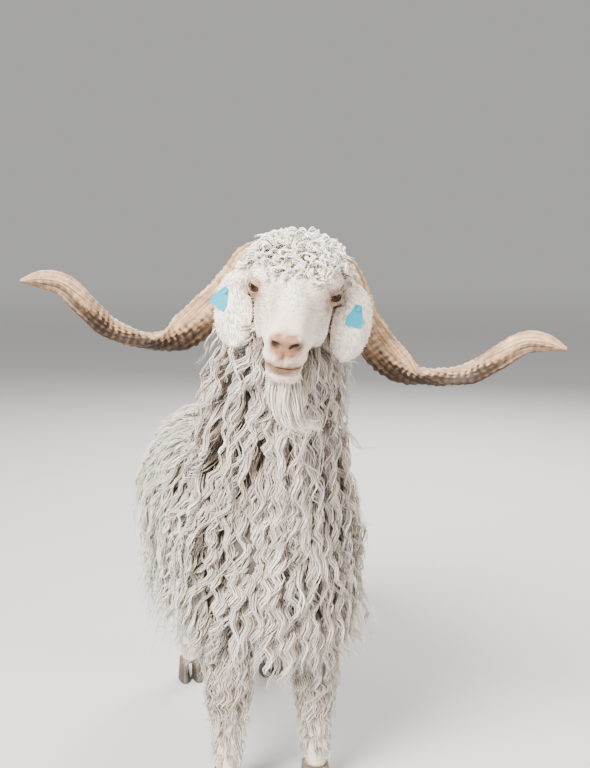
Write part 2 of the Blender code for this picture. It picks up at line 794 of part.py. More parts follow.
def torso_lock(back, degrees, length, side, draw):
    """One lock that lies down the side of the torso and hangs free below it."""
    phase = degrees + draw.uniform(-0.5, 0.5)
    drift = draw.uniform(0.02, 0.04)
    path = []
    facing = []
    half_height = 0.19
    hang = math.radians(112)
    start = math.radians(degrees + draw.uniform(-4, 4))
    for step in range(LOCK_STEPS):
        part = step / (LOCK_STEPS - 1)
        angle = start + part * length / half_height
        free = max(angle - max(hang, start), 0.0) * half_height
        angle = min(angle, max(hang, start))
        coat = coat_depth(angle)
        lift = rise_of_lock(part, coat * CORE_SHARE - LOCK_SINK, coat - 0.009)
        spot, out = torso_skin(min(back + drift * part, 0.585), angle, lift)
        wave = wave_of_lock(part, LOCK_WAVE, phase)
        spot += Vector((free * 0.12, wave, -free))
        out = Vector((out.x, 0.0, max(out.z, 0.0))).normalized()
        path.append(mirrored(spot, side))
        facing.append(mirrored(out, side))
    size = TORSO_LOCK_HALF_WIDTH * draw.uniform(0.9, 1.15)
    return lock("torso lock", path, facing, size, LOCK_THICKNESS)


def torso_locks():
    """The torso's locks in rows from the spine down to the hanging hem."""
    draw = random.Random(COAT_SEED + 3)
    locks = []
    for side in (-1, 1):
        for row, (degrees, length) in enumerate(TORSO_LOCK_ROWS):
            for column in range(TORSO_LOCK_COLUMNS):
                back = TORSO_LOCK_FIRST + TORSO_LOCK_SPACING * (column - 0.5 * (row % 2))
                reach = length * draw.uniform(0.88, 1.12)
                locks.append(torso_lock(back, degrees, reach, side, draw))
        for column in range(2):
            back = 0.08 + 0.16 * column
            locks.append(torso_lock(back, 148, BELLY_LOCK_LENGTH, side, draw))
    return locks


def chest_locks():
    """Locks that hang down the front of the chest to the brisket."""
    draw = random.Random(COAT_SEED + 6)
    locks = []
    for height, half_spread, count in CHEST_LOCK_ROWS:
        for column in range(count):
            across = half_spread * (column * 2 / (count - 1) - 1)
            phase = height * 20 + draw.uniform(-0.5, 0.5)
            length = CHEST_LOCK_LENGTH * draw.uniform(0.9, 1.1)
            path = []
            for step in range(LOCK_STEPS):
                part = step / (LOCK_STEPS - 1)
                back = -0.235 + 4.0 * across ** 2 - rise_of_lock(part, -0.030, 0.036)
                side = across * (1 + 0.10 * part) + wave_of_lock(part, LOCK_WAVE, phase)
                path.append(Vector((side, back + 0.030 * part, height - length * part)))
            out = Vector((across * 6, -1.0, 0.1)).normalized()
            size = NECK_LOCK_HALF_WIDTH * 0.72
            locks.append(lock("chest lock", path, [out] * LOCK_STEPS, size, LOCK_THICKNESS))
    return locks


def rump_locks():
    """Locks that hang down the back of the thighs, beside and below the tail."""
    draw = random.Random(COAT_SEED + 4)
    locks = []
    for row, (height, half_spread) in enumerate(RUMP_LOCK_ROWS):
        for column in range(3):
            across = half_spread * (column - 1)
            phase = draw.uniform(0, 2 * math.pi)
            length = RUMP_LOCK_LENGTH * draw.uniform(0.9, 1.1)
            path = []
            for step in range(LOCK_STEPS):
                part = step / (LOCK_STEPS - 1)
                back = 0.575 - 0.20 * across ** 2 / 0.02 * 0.1
                lift = rise_of_lock(part, 0.0, 0.062) - 0.035 * max(part - 0.5, 0)
                side = across * (1 + 0.15 * part) + wave_of_lock(part, LOCK_WAVE / 2, phase)
                path.append(Vector((side, back + lift, height - length * part)))
            out = Vector((across * 3, 1.0, 0.25)).normalized()
            size = TORSO_LOCK_HALF_WIDTH * 0.85
            locks.append(lock("rump lock", path, [out] * LOCK_STEPS, size, LOCK_THICKNESS))
    return locks


def leg_locks(stations, side, grow=0.0):
    """Short locks that hang round the upper part of one leg."""
    draw = random.Random(COAT_SEED + 5)
    top = stations[0][3]
    length = top - stations[-1][3]
    locks = []
    for row, first in enumerate(LEG_LOCK_ROWS):
        for column in range(LEG_LOCKS_ROUND):
            turn = 2 * math.pi * (column + 0.5 * row) / LEG_LOCKS_ROUND
            phase = draw.uniform(0, 2 * math.pi)
            path = []
            facing = []
            for step in range(LOCK_STEPS):
                part = step / (LOCK_STEPS - 1)
                share = first + part * LEG_LOCK_LENGTH / length
                across, back, up, half_width, half_depth = read_table(stations, share)
                out = Vector((math.cos(turn), math.sin(turn), 0.0))
                lift = rise_of_lock(part, -0.014, 0.010)
                swing = Vector((-out.y, out.x, 0.0)) * wave_of_lock(part, 0.007, phase)
                spot = Vector((across * side, back, up)) + out * lift + swing
                spot += Vector((out.x * half_width, out.y * half_depth, 0.0))
                path.append(spot)
                facing.append(out)
            size = LEG_LOCK_HALF_WIDTH
            locks.append(lock("leg lock", path, facing, size, 0.008, grow))
    return locks


def tail_locks(grow=0.0):
    """Locks that hang from the tail to both sides and behind."""
    locks = []
    for number in range(4):
        share = 0.38 + 0.17 * number
        back, up, half_width, half_depth = read_table(TAIL_STATIONS, share)
        side = (number % 2) * 2 - 1
        out = Vector((side * 0.8, 0.6, 0.0)).normalized()
        path = []
        for step in range(LOCK_STEPS):
            part = step / (LOCK_STEPS - 1)
            lift = rise_of_lock(part, -0.004, 0.022)
            fall = TAIL_LOCK_LENGTH * part
            swing = wave_of_lock(part, 0.006, number)
            spot = Vector((0.0, back, up)) + out * lift + Vector((0, swing, -fall))
            path.append(spot)
        locks.append(lock("tail lock", path, [out] * LOCK_STEPS, 0.020, 0.008, grow))
    return locks


def leg(stations, side, grow=0.0, name="leg"):
    """One woolly leg from inside the torso down to the hoof."""
    rings = []
    for step in range(8):
        across, back, up, half_width, half_depth = read_table(stations, step / 7)
        center = Vector((across * side, back, up))
        x_axis = Vector((1.0, 0.0, 0.0))
        y_axis = Vector((0.0, 1.0, 0.0))
        rings.append(oval_ring(center, x_axis, y_axis, half_width, half_depth, 8))
    return loft(name, rings, grow)


def hoof(stations, side, grow=0.0, name="hoof"):
    """One cloven hoof: two claws on flat soles, joined under the wool."""
    across, back = read_table(stations, 1.0)[:2]
    pieces = []
    for claw in (-1, 1):
        rings = []
        for level, scale, shift in ((0.0, 1.0, 0.0), (0.5, 0.92, 0.006), (1.0, 0.74, 0.014)):
            ring = []
            for step in range(8):
                angle = 2 * math.pi * step / 8
                reach = CLAW_TOE if math.cos(angle) > 0 else CLAW_HEEL
                x_part = signed_power(math.sin(angle), 0.8) * CLAW_HALF_WIDTH * scale
                y_part = -math.cos(angle) * reach * scale + shift
                center = across * side + claw * CLAW_SPACING * (1 - 0.12 * level)
                ring.append(Vector((center + x_part, back + y_part, level * CLAW_HEIGHT)))
            rings.append(ring)
        pieces.append(loft(name, rings, grow))
    top = Vector((across * side, back + 0.006, CLAW_HEIGHT + 0.004))
    bridge = ellipsoid("coronet", top, (0.026, 0.026, 0.016), None, grow, 8, 4)
    return combine(pieces[0], [pieces[1], bridge], "UNION")


def build_leg(stations, side, name):
    """One leg with the hollow that its hoof sits in."""
    limb = combine(leg(stations, side, 0.0, name), leg_locks(stations, side), "UNION")
    combine(limb, [hoof(stations, side, JOINT_GAP)], "DIFFERENCE")
    return keep_largest(limb)


def tail(grow=0.0, name="tail"):
    """The short tail."""
    rings = []
    for step in range(7):
        back, up, half_width, half_depth = read_table(TAIL_STATIONS, step / 6)
        ahead = read_table(TAIL_STATIONS, min(step / 6 + 0.05, 1.0))
        behind = read_table(TAIL_STATIONS, max(step / 6 - 0.05, 0.0))
        axis = Vector((0.0, ahead[0] - behind[0], ahead[1] - behind[1])).normalized()
        across = Vector((1.0, 0.0, 0.0))
        up_axis = across.cross(axis)
        center = Vector((0.0, back, up))
        rings.append(oval_ring(center, across, up_axis, half_width, half_depth, 10))
    return loft(name, rings, grow)


def head_neighbours():
    """Cutters that keep a coat clear of the head and all that the head carries."""
    place = head_place()
    cuts = [place_points(piece, place) for piece in [head_flesh(COAT_GAP)] + topknot(COAT_GAP)]
    for side in (-1, 1):
        cuts.append(horn(side, COAT_GAP))
        cuts.append(ear(side, COAT_GAP))
        cuts.append(tag(side, COAT_GAP))
    return cuts + beard(COAT_GAP)


def build_neck():
    """The neck, hollowed where the head sits in it."""
    return keep_largest(combine(neck_body(), head_neighbours(), "DIFFERENCE"))


def build_torso():
    """The torso with its locks, hollowed for the neck, the legs and the tail."""
    torso = torso_core()
    combine(torso, torso_locks() + chest_locks() + rump_locks(), "UNION")
    slim(torso, SLIM_SHARE)
    cuts = [neck_body(COAT_GAP), tail(COAT_GAP)] + tail_locks(COAT_GAP)
    for side in (-1, 1):
        for stations in (FORELEG_STATIONS, HINDLEG_STATIONS):
            cuts.append(leg(stations, side, COAT_GAP))
            cuts.extend(leg_locks(stations, side, COAT_GAP))
    return keep_largest(combine(torso, cuts, "DIFFERENCE"))


def build_tail():
    """The tail with its locks."""
    return keep_largest(combine(tail(), tail_locks(), "UNION"))


def paint(thing, color, roughness):
    """Give an object its own plain material and smooth shading."""
    surface = bpy.data.materials.new(thing.name)
    surface.use_nodes = True
    shader = surface.node_tree.nodes["Principled BSDF"]
    shader.inputs["Base Color"].default_value = (*color, 1.0)
    shader.inputs["Roughness"].default_value = roughness
    thing.data.materials.clear()
    thing.data.materials.append(surface)
    for face in thing.data.polygons:
        face.use_smooth = True
        face.material_index = 0


def settle(things):
    """Move the whole goat so that its bottom centre is the origin."""
    points = [vert.co for thing in things for vert in thing.data.vertices]
    low = [min(point[axis] for point in points) for axis in range(3)]
    high = [max(point[axis] for point in points) for axis in range(3)]
    middle = ((low[0] + high[0]) / 2, (low[1] + high[1]) / 2, low[2])
    for thing in things:
        thing.data.transform(Matrix.Translation(-Vector(middle)))


def main():
    """Build every node, paint it and settle the goat on the floor."""
    clear_scene()
    nodes = [(build_torso(), FLEECE_COLOR), (build_neck(), FLEECE_COLOR)]
    nodes.append((build_tail(), FLEECE_COLOR))
    nodes.append((build_head(), FACE_COLOR))
    for side, word in ((-1, "right"), (1, "left")):
        nodes.append((build_eye(side, "eye_" + word), EYE_COLOR))
        nodes.append((build_ear(side, "ear_" + word), FACE_COLOR))
        nodes.append((tag(side, 0.0, "ear_tag_" + word), TAG_COLOR))
        nodes.append((horn(side, 0.0, "horn_" + word), HORN_COLOR))
        for stations, limb in ((FORELEG_STATIONS, "fore"), (HINDLEG_STATIONS, "hind")):
            nodes.append((build_leg(stations, side, f"{limb}leg_{word}"), FLEECE_COLOR))
            nodes.append((hoof(stations, side, 0.0, f"hoof_{limb}_{word}"), HOOF_COLOR))
    for thing, (color, roughness) in nodes:
        paint(thing, color, roughness)
    settle([thing for thing, finish in nodes])


main()
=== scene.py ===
"""The looks of a still Angora goat: one skin, a coat of wavy mohair locks, horns, eyes,
hooves and ear tags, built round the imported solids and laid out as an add-on."""
import math
import random

import bmesh
import bpy
import numpy as np
from mathutils import Matrix, Vector


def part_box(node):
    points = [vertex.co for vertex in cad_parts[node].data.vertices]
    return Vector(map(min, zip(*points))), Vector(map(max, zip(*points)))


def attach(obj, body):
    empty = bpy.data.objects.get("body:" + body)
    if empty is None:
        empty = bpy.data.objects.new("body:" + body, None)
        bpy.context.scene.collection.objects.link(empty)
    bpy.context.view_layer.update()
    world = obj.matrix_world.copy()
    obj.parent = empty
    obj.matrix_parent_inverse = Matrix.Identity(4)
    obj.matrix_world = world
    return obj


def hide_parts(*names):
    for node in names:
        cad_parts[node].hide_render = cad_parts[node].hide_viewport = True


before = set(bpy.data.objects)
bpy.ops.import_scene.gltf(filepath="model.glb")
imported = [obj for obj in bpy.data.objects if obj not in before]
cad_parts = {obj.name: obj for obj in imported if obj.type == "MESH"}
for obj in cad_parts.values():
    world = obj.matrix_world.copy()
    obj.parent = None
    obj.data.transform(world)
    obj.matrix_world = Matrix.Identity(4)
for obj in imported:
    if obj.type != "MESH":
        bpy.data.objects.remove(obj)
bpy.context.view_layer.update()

bl_info = {
    "name": "Angora goat",
    "version": (1, 0, 0),
    "blender": (4, 5, 0),
    "location": "View3D > Sidebar > Goat",
    "description": "Skin, mohair coat, horns, eyes, hooves and tags of a standing Angora goat",
    "category": "Object",
}

BODY = "root"
SIDES = ((-1, "right"), (1, "left"))

# Where the head is held, its axes from between the eyes: left, back and crown
EYE_MIDPOINT = Vector((0.010, -0.330, 1.070))
HEAD_TURN = math.radians(-13)
HEAD_ROLL = math.radians(7)
HEAD_PITCH = math.radians(19)

# Size of this buck's head and ears against the lengths below
HEAD_SIZE = 1.08

# Skull and flesh: along the head, top, bottom, upper and lower half width
HEAD_STATIONS = (
    (-0.186, -0.022, -0.046, 0.013, 0.012),
    (-0.180, -0.007, -0.064, 0.024, 0.020),
    (-0.168, 0.001, -0.080, 0.033, 0.029),
    (-0.150, 0.009, -0.089, 0.036, 0.032),
    (-0.120, 0.017, -0.080, 0.039, 0.036),
    (-0.090, 0.027, -0.080, 0.042, 0.044),
    (-0.060, 0.035, -0.090, 0.050, 0.050),
    (-0.030, 0.042, -0.102, 0.062, 0.058),
    (0.010, 0.048, -0.113, 0.071, 0.061),
    (0.050, 0.045, -0.109, 0.064, 0.057),
    (0.085, 0.022, -0.090, 0.054, 0.050),
    (0.105, -0.010, -0.065, 0.036, 0.034),
)
HEAD_SQUARENESS = 0.80
HEAD_RINGS = 60
HEAD_CORNERS = 48

# Flesh added to both sides of the head: centre and radii
HEAD_LUMPS = (
    ((0.054, 0.012, 0.024), (0.023, 0.034, 0.020)),
    ((0.042, 0.014, -0.064), (0.023, 0.049, 0.041)),
    ((0.0155, -0.169, -0.014), (0.014, 0.014, 0.013)),
    ((0.011, -0.168, -0.041), (0.015, 0.018, 0.011)),
    ((0.016, -0.160, -0.040), (0.020, 0.023, 0.018)),
    ((0.006, -0.156, -0.076), (0.020, 0.022, 0.014)),
    ((0.008, -0.146, -0.083), (0.020, 0.024, 0.013)),
)

# Soft dents and swells of the face: centre, reach and how far the skin moves
FACE_FORMS = (
    ((0.052, -0.038, -0.006), (0.014, 0.020, 0.016), -0.0050),
    ((0.044, -0.080, -0.020), (0.014, 0.034, 0.014), -0.0050),
    ((0.032, -0.125, -0.006), (0.012, 0.026, 0.014), -0.0035),
    ((0.000, -0.085, 0.032), (0.011, 0.070, 0.020), 0.0038),
    ((0.024, -0.060, 0.036), (0.012, 0.040, 0.018), -0.0030),
    ((0.026, 0.020, 0.046), (0.020, 0.030, 0.018), 0.0030),
    ((0.000, -0.188, -0.036), (0.0026, 0.020, 0.012), -0.0035),
    ((0.032, -0.135, -0.052), (0.012, 0.022, 0.010), -0.0035),
    ((0.044, -0.030, -0.080), (0.018, 0.040, 0.020), -0.0045),
    ((0.062, 0.004, 0.024), (0.014, 0.018, 0.008), 0.0025),
)

# Eyes and lids
EYE_RADIUS = 0.0165
EYE_CENTER = Vector((0.0600, 0.002, 0.000))
EYE_AIM = Vector((0.74, -0.66, 0.06)).normalized()
LID_RADIUS = 0.0200
LID_OPENING = (0.0148, 0.0068)
LID_RIM = 0.0011
EYE_GAP = 0.0003
IRIS_REACH = 0.74
PUPIL_REACH = (0.46, 0.30)
CORNEA_RISE = 0.0009

# Mouth line and nostrils
MOUTH_TURN = 112
MOUTH_BACK = -0.138
MOUTH_UP = -0.055
MOUTH_SECTION = ((0.054, 0.0018), (0.054, -0.0018), (0.024, -0.0005), (0.024, 0.0005))
NOSTRIL_CENTER = (0.0148, -0.184, -0.015)
NOSTRIL_RADII = (0.0098, 0.0100, 0.0042)
NOSTRIL_SLANT = math.radians(-28)
NOSTRIL_TURN = math.radians(32)

# Marks of the face: centre, reach and strength, on both sides where off the middle
# Tan hair on the bridge and lips, and painted shade in the eye hollows and down the sides of the
# bridge and cheeks
TAN_AND_SHADE_MARKS = (
    ((0.000, -0.140, 0.010), (0.022, 0.030, 0.020), 0.30),
    ((0.000, -0.165, -0.060), (0.060, 0.045, 0.030), 0.30),
    ((0.029, -0.085, 0.018), (0.014, 0.060, 0.024), 0.60),
    (EYE_CENTER, (0.030, 0.034, 0.024), 1.45),
    ((0.052, -0.050, -0.030), (0.020, 0.050, 0.030), 0.40),
)
BARE_MARKS = (
    ((0.000, -0.186, -0.012), (0.035, 0.022, 0.029), 1.6),
    ((0.000, -0.182, -0.061), (0.028, 0.020, 0.012), 1.3),
    ((0.024, -0.168, -0.055), (0.010, 0.024, 0.006), 0.7),
    (EYE_CENTER + EYE_AIM * 0.018, (0.017, 0.017, 0.012), 0.55),
    ((0.060, -0.030, -0.016), (0.010, 0.016, 0.010), 0.25),
)
# Painted shade in the line of the mouth and inside the nostrils
MOUTH_AND_NOSTRIL_SHADE = (
    ((0.000, -0.184, -0.055), (0.036, 0.022, 0.0024), 0.8),
    ((0.015, -0.186, -0.015), (0.010, 0.012, 0.0056), 1.6),
)

# Colours that stay as they are
# Tan of the hair, also used as painted shade round the eyes and down the bridge
TAN_AND_SHADE_COLOR = (0.29, 0.165, 0.09)
THIN_WOOL = 0.62
LID_RIM_COLOR = (0.11, 0.055, 0.038)
EYE_WHITE_COLOR = (0.24, 0.15, 0.10)
PUPIL_COLOR = (0.006, 0.005, 0.005)
HOOF_COLOR = (0.045, 0.034, 0.025)
CORONET_COLOR = (0.17, 0.13, 0.09)
LAMP_COLOR = (1.0, 0.965, 0.92)
SKY_COLOR = (0.94, 0.93, 0.91, 1.0)

# Voxels of the head and the body skin, and how often each is smoothed
HEAD_VOXEL = 0.0018
BODY_VOXEL = 0.0085
SKIN_SMOOTHING = 8

# Ears hang beside the cheeks: path across, back, up, then half width and cup depth.
# Their skin ends short of the solid ears by the depth of their hair.
EAR_STATIONS = (
    (0.00, 0.064, 0.024, 0.008, 0.012, 0.003),
    (0.15, 0.084, 0.024, 0.012, 0.018, 0.006),
    (0.32, 0.106, 0.024, -0.006, 0.029, 0.012),
    (0.55, 0.109, 0.024, -0.042, 0.037, 0.015),
    (0.78, 0.104, 0.020, -0.076, 0.034, 0.013),
    (0.93, 0.097, 0.019, -0.097, 0.025, 0.010),
    (1.00, 0.094, 0.019, -0.107, 0.012, 0.006),
)
EAR_THICKNESS = 0.0045
EAR_FACING = Vector((0.42, -0.90, 0.10)).normalized()
EAR_RINGS = 44
EAR_COLUMNS = 15

# Horns: path left, back, crown, then broad and narrow width, and twist in degrees
HORN_STATIONS = (
    (0.00, 0.036, 0.056, 0.004, 0.054, 0.036, -75),
    (0.08, 0.059, 0.088, 0.024, 0.058, 0.034, -65),
    (0.16, 0.089, 0.112, 0.000, 0.070, 0.035, -35),
    (0.27, 0.118, 0.125, -0.068, 0.084, 0.040, 5),
    (0.38, 0.169, 0.127, -0.135, 0.086, 0.038, 12),
    (0.49, 0.226, 0.112, -0.180, 0.082, 0.036, 22),
    (0.60, 0.286, 0.090, -0.183, 0.064, 0.034, 66),
    (0.72, 0.353, 0.069, -0.153, 0.053, 0.032, 110),
    (0.81, 0.393, 0.052, -0.109, 0.048, 0.030, 134),
    (0.89, 0.436, 0.045, -0.066, 0.045, 0.028, 158),
    (0.96, 0.477, 0.034, -0.055, 0.036, 0.024, 170),
    (1.00, 0.512, 0.022, -0.058, 0.010, 0.009, 180),
)
HORN_RINGS = 300
HORN_CORNERS = 44
HORN_RIDGES = 46
HORN_RIDGE_HEIGHT = 0.0014
# How far each horn's first bend sits above the mean of the two
HORN_SWAY = {-1: 0.012, 1: -0.014}

# Ear tags
TAG_SHARE = 0.40
TAG_WIDTH = 0.034
TAG_HEIGHT = 0.036
TAG_THICKNESS = 0.0018
TAG_PIN_RADIUS = 0.0028
# How far each tag leans, and where it sits across its ear and into its cup
TAG_TILT = {-1: math.radians(-25), 1: math.radians(-8)}
TAG_OFFSET = {-1: (-0.30, 0.09), 1: (0.05, 0.0)}
TAG_MIDDLE = 0.42
TAG_SECTION = ((0.0, 0.97), (0.10, 1.0), (0.90, 1.0), (1.0, 0.97), (1.0, 0.91),
               (0.72, 0.88), (0.72, 0.02))
STUD_SECTION = (
    (-EAR_THICKNESS, -0.0030, 2.3), (-EAR_THICKNESS, -0.0028, 2.6),
    (-EAR_THICKNESS, -0.0014, 2.6), (-EAR_THICKNESS, -0.0012, 2.4),
    (-EAR_THICKNESS, -0.0011, 1.0), (TAG_THICKNESS, 0.0002, 1.0),
    (TAG_THICKNESS, 0.0004, 1.7), (TAG_THICKNESS, 0.0016, 1.6),
    (TAG_THICKNESS, 0.0022, 1.2), (TAG_THICKNESS, 0.0016, 0.7),
)
TAG_OUTLINE = (
    (-0.18, -0.14), (-0.10, -0.20), (0.10, -0.20), (0.18, -0.14), (0.27, 0.06), (0.36, 0.26),
    (0.44, 0.42), (0.49, 0.54), (0.50, 0.62), (0.50, 0.80), (0.47, 0.87), (0.40, 0.88),
    (-0.40, 0.88), (-0.47, 0.87), (-0.50, 0.80), (-0.50, 0.62), (-0.49, 0.54), (-0.44, 0.42),
    (-0.36, 0.26), (-0.27, 0.06),
)

# Neck from the poll to the chest: back, up, half width, half depth
NECK_STATIONS = (
    (0.00, -0.268, 1.100, 0.046, 0.044),
    (0.16, -0.222, 1.030, 0.072, 0.078),
    (0.38, -0.188, 0.930, 0.084, 0.094),
    (0.64, -0.148, 0.820, 0.098, 0.112),
    (0.88, -0.092, 0.700, 0.114, 0.150),
    (1.00, -0.030, 0.600, 0.120, 0.160),
)
NECK_LENGTH = 0.545
NECK_COAT = 0.062
NECK_COAT_AT_HEAD = 0.024

# Torso along the body: half width, bottom and top of the skin
TORSO_STATIONS = (
    (-0.245, 0.060, 0.500, 0.630),
    (-0.220, 0.100, 0.440, 0.690),
    (-0.120, 0.128, 0.385, 0.740),
    (0.000, 0.146, 0.365, 0.738),
    (0.150, 0.166, 0.360, 0.720),
    (0.300, 0.176, 0.370, 0.712),
    (0.420, 0.166, 0.395, 0.712),
    (0.500, 0.144, 0.430, 0.700),
    (0.565, 0.105, 0.490, 0.675),
    (0.600, 0.055, 0.550, 0.640),
)
TORSO_COAT_BACK = 0.045
TORSO_COAT_SIDE = 0.085
TORSO_HALF_HEIGHT = 0.19

# Upper limbs inside the torso: centre and radii
SHOULDER = (Vector((0.088, -0.105, 0.450)), Vector((0.066, 0.095, 0.130)))
THIGH = (Vector((0.098, 0.425, 0.475)), Vector((0.080, 0.125, 0.145)))

# Legs: across, back, up, half width and half depth of the woolly leg
FORELEG_STATIONS = (
    (0.00, 0.088, -0.118, 0.400, 0.046, 0.056),
    (0.25, 0.090, -0.120, 0.325, 0.044, 0.052),
    (0.50, 0.092, -0.128, 0.240, 0.038, 0.043),
    (0.72, 0.093, -0.124, 0.160, 0.031, 0.034),
    (0.90, 0.094, -0.126, 0.090, 0.033, 0.037),
    (1.00, 0.094, -0.132, 0.052, 0.029, 0.033),
)
HINDLEG_STATIONS = (
    (0.00, 0.100, 0.440, 0.425, 0.060, 0.078),
    (0.22, 0.104, 0.478, 0.350, 0.050, 0.064),
    (0.44, 0.108, 0.536, 0.275, 0.038, 0.047),
    (0.60, 0.109, 0.545, 0.215, 0.033, 0.039),
    (0.75, 0.108, 0.528, 0.150, 0.031, 0.035),
    (0.90, 0.107, 0.512, 0.090, 0.033, 0.037),
    (1.00, 0.107, 0.502, 0.052, 0.029, 0.033),
)
LEGS = ((FORELEG_STATIONS, "fore"), (HINDLEG_STATIONS, "hind"))
LEG_WOOL = 0.007

# Hooves: one claw's half width, its reach to toe and heel, and its height
CLAW_HALF_WIDTH = 0.0155
CLAW_SPACING = 0.0175
CLAW_TOE = 0.046
CLAW_HEEL = 0.026
CLAW_HEIGHT = 0.050
CLAW_LEVELS = (0.0, 0.03, 0.08, 0.2, 0.35, 0.5, 0.65, 0.8, 0.92, 1.0)
CLAW_SOLE = 0.955
DEWCLAW_RADII = (0.0075, 0.007, 0.013)
DEWCLAW_LEAN = math.radians(25)
CORONET_RADII = (0.025, 0.025, 0.014)

# Tail: back, up, half width, half depth
TAIL_STATIONS = (
    (0.00, 0.575, 0.640, 0.026, 0.020),
    (0.40, 0.628, 0.640, 0.024, 0.018),
    (0.75, 0.665, 0.610, 0.020, 0.014),
    (1.00, 0.680, 0.570, 0.010, 0.008),
)

# How a lock looks unless its region says otherwise. Sizes are metres, the rest shares:
# how flat its strands are, how many locks are stained, how far it bends aside and hooks,
# how dark the painted shade makes its edges, how soon its painted root shade gives way
# to its full colour toward the tip, and its brightness.
PLAIN_LOCK = {
    "flatness": 0.42, "stain_share": 0.08, "bend": 0.10, "hook": 0.10, "hollow": 0.58,
    "root_shade_fade": 1.2, "gain": 1.0,
}
LOCK_KINDS = {
    "neck": {"length": 0.160, "width": 0.0110, "strand": 0.0028},
    "ruff": {"length": 0.0875, "width": 0.0100, "strand": 0.0026, "wave": 0.0060},
    "chest": {"length": 0.150, "width": 0.0110, "strand": 0.0028},
    "side": {"length": 0.145, "width": 0.0120, "strand": 0.0034, "stain_share": 0.03,
             "strands": 6, "gain": 1.06},
    "rump": {"length": 0.135, "width": 0.0120, "strand": 0.0030, "stain_share": 0.03,
             "gain": 1.06},
    "tail": {"length": 0.090, "width": 0.0090, "strand": 0.0030, "strands": 5, "gain": 1.06},
    "leg": {"length": 0.085, "wavelength": 0.045, "strands": 4, "stain_share": 0.12},
    "topknot": {"length": 0.040, "width": 0.0050, "strand": 0.0034, "strands": 3,
                "wave": 0.0056, "wavelength": 0.024, "stain_share": 0.14,
                "color": (1.0, 0.91, 0.81), "shade": (1.0, 0.82, 0.66), "bend": 0.22,
                "hook": 0.20, "hollow": 0.20, "flatness": 0.7, "root_shade_fade": 1.8},
    "wisp": {"length": 0.032, "width": 0.0070, "strand": 0.0012, "strands": 4,
             "wave": 0.003, "stain_share": 0.02, "color": (0.93, 0.87, 0.78),
             "shade": (0.78, 0.70, 0.60)},
    "beard": {"length": 0.150, "width": 0.0070, "strand": 0.0018, "strands": 5,
              "wave": 0.0028, "wavelength": 0.110, "stain_share": 0.18,
              "color": (1.0, 0.87, 0.69), "shade": (0.92, 0.75, 0.56), "bend": 0.02,
              "hook": 0.03},
}
NECK_LOCK_AT_HEAD = 0.055
FOOT_LOCK = 0.030

# How many locks, rows and tufts there are
RUFF_LOCKS = 64
CHEST_ROWS = 12
CHEST_COLUMNS = 12
FLEECE_REACH = 0.84
SPINE_LOCKS = 170
RUMP_ROWS = 11
RUMP_COLUMNS = 9
TAIL_LOCKS = 46
LEG_ROWS = 15
TOPKNOT_ROWS = 13
EAR_WISPS = 20
BEARD_LOCKS = 110
FACE_TUFTS = 12500

# Top rows of locks on chest and rump, and the gaps between rows and columns
CHEST_TOP = 0.715
CHEST_GAP = 0.026
RUMP_TOP = 0.712
RUMP_ROW_GAP = 0.027
RUMP_COLUMN_GAP = 0.028

# Degrees round the torso from the spine: lowest roots, shorter belly locks, free hanging
FLEECE_LOWEST = 166
BELLY_FROM = 118
HANG_FROM = 112

# Locks along the spine fall far or little, and drift back while they do
SPINE_FALLS = ((0.060, 0.07), (0.012, 0.11))

# Layers of the topknot: rows fewer than the lowest layer, and height over the crown
TOPKNOT_LAYERS = ((0, 0.001), (0, 0.007), (1, 0.014), (2, 0.024), (3, 0.036), (4, 0.044))
EYE_CLEARANCE = 0.050

# The photograph's camera, from the point between the eyes
CAMERA_DISTANCE = 2.12
CAMERA_AZIMUTH = math.radians(-11)
CAMERA_HEIGHT = 1.22
CAMERA_PITCH = math.radians(8.6)
CAMERA_LENS = 54.6

# How near and how far the floor fades into the sky
FLOOR_FADE = (3.5, 16.0)

# Lamps: name, place, what they aim at, size and share of the key light's power
LAMPS = (
    ("key", (-2.5, -2.7, 3.6), (0, -0.2, 0.8), 2.6, 1.0),
    ("fill", (3.2, -2.0, 2.0), (0, 0, 0.7), 3.0, 0.14),
    ("back", (1.5, 3.4, 3.2), (0, 0, 0.8), 2.4, 0.32),
)


def color_setting(name, description, default):
    """A colour that a user can change."""
    return bpy.props.FloatVectorProperty(name=name, description=description, default=default,
                                         subtype="COLOR", min=0.0, max=1.0)


def length_setting(name, description, default, low, high):
    """A length in metres that a user can change."""
    return bpy.props.FloatProperty(name=name, description=description, default=default,
                                   unit="LENGTH", min=low, max=high)


class GoatCoatSettings(bpy.types.PropertyGroup):
    """Sizes and colours of the fleece."""

    fleece: color_setting("Fleece", "Colour of the outer mohair", (1.0, 0.86, 0.72))
    # Painted shade that darkens the locks near their roots
    shade: color_setting("Shade", "Colour of the mohair near the skin", (0.170, 0.102, 0.066))
    # Painted shade that darkens the skin between the locks
    gap_shade: color_setting("Undercoat", "Colour of the wool on the skin, under the locks",
                             (0.066, 0.050, 0.039))
    stain: color_setting("Stain", "Colour of the yellowed locks", (0.56, 0.37, 0.19))
    wave: length_setting("Wave", "How far a lock swings to each side", 0.0078, 0.0, 0.02)
    wavelength: length_setting("Wavelength", "Length of one wave of a lock", 0.060, 0.01, 0.2)
    spacing: length_setting("Spacing", "Distance between the roots of the locks", 0.027,
                            0.015, 0.08)
    strands: bpy.props.IntProperty(
        name="Strands", description="Strands in one lock", default=7, min=1, max=9)


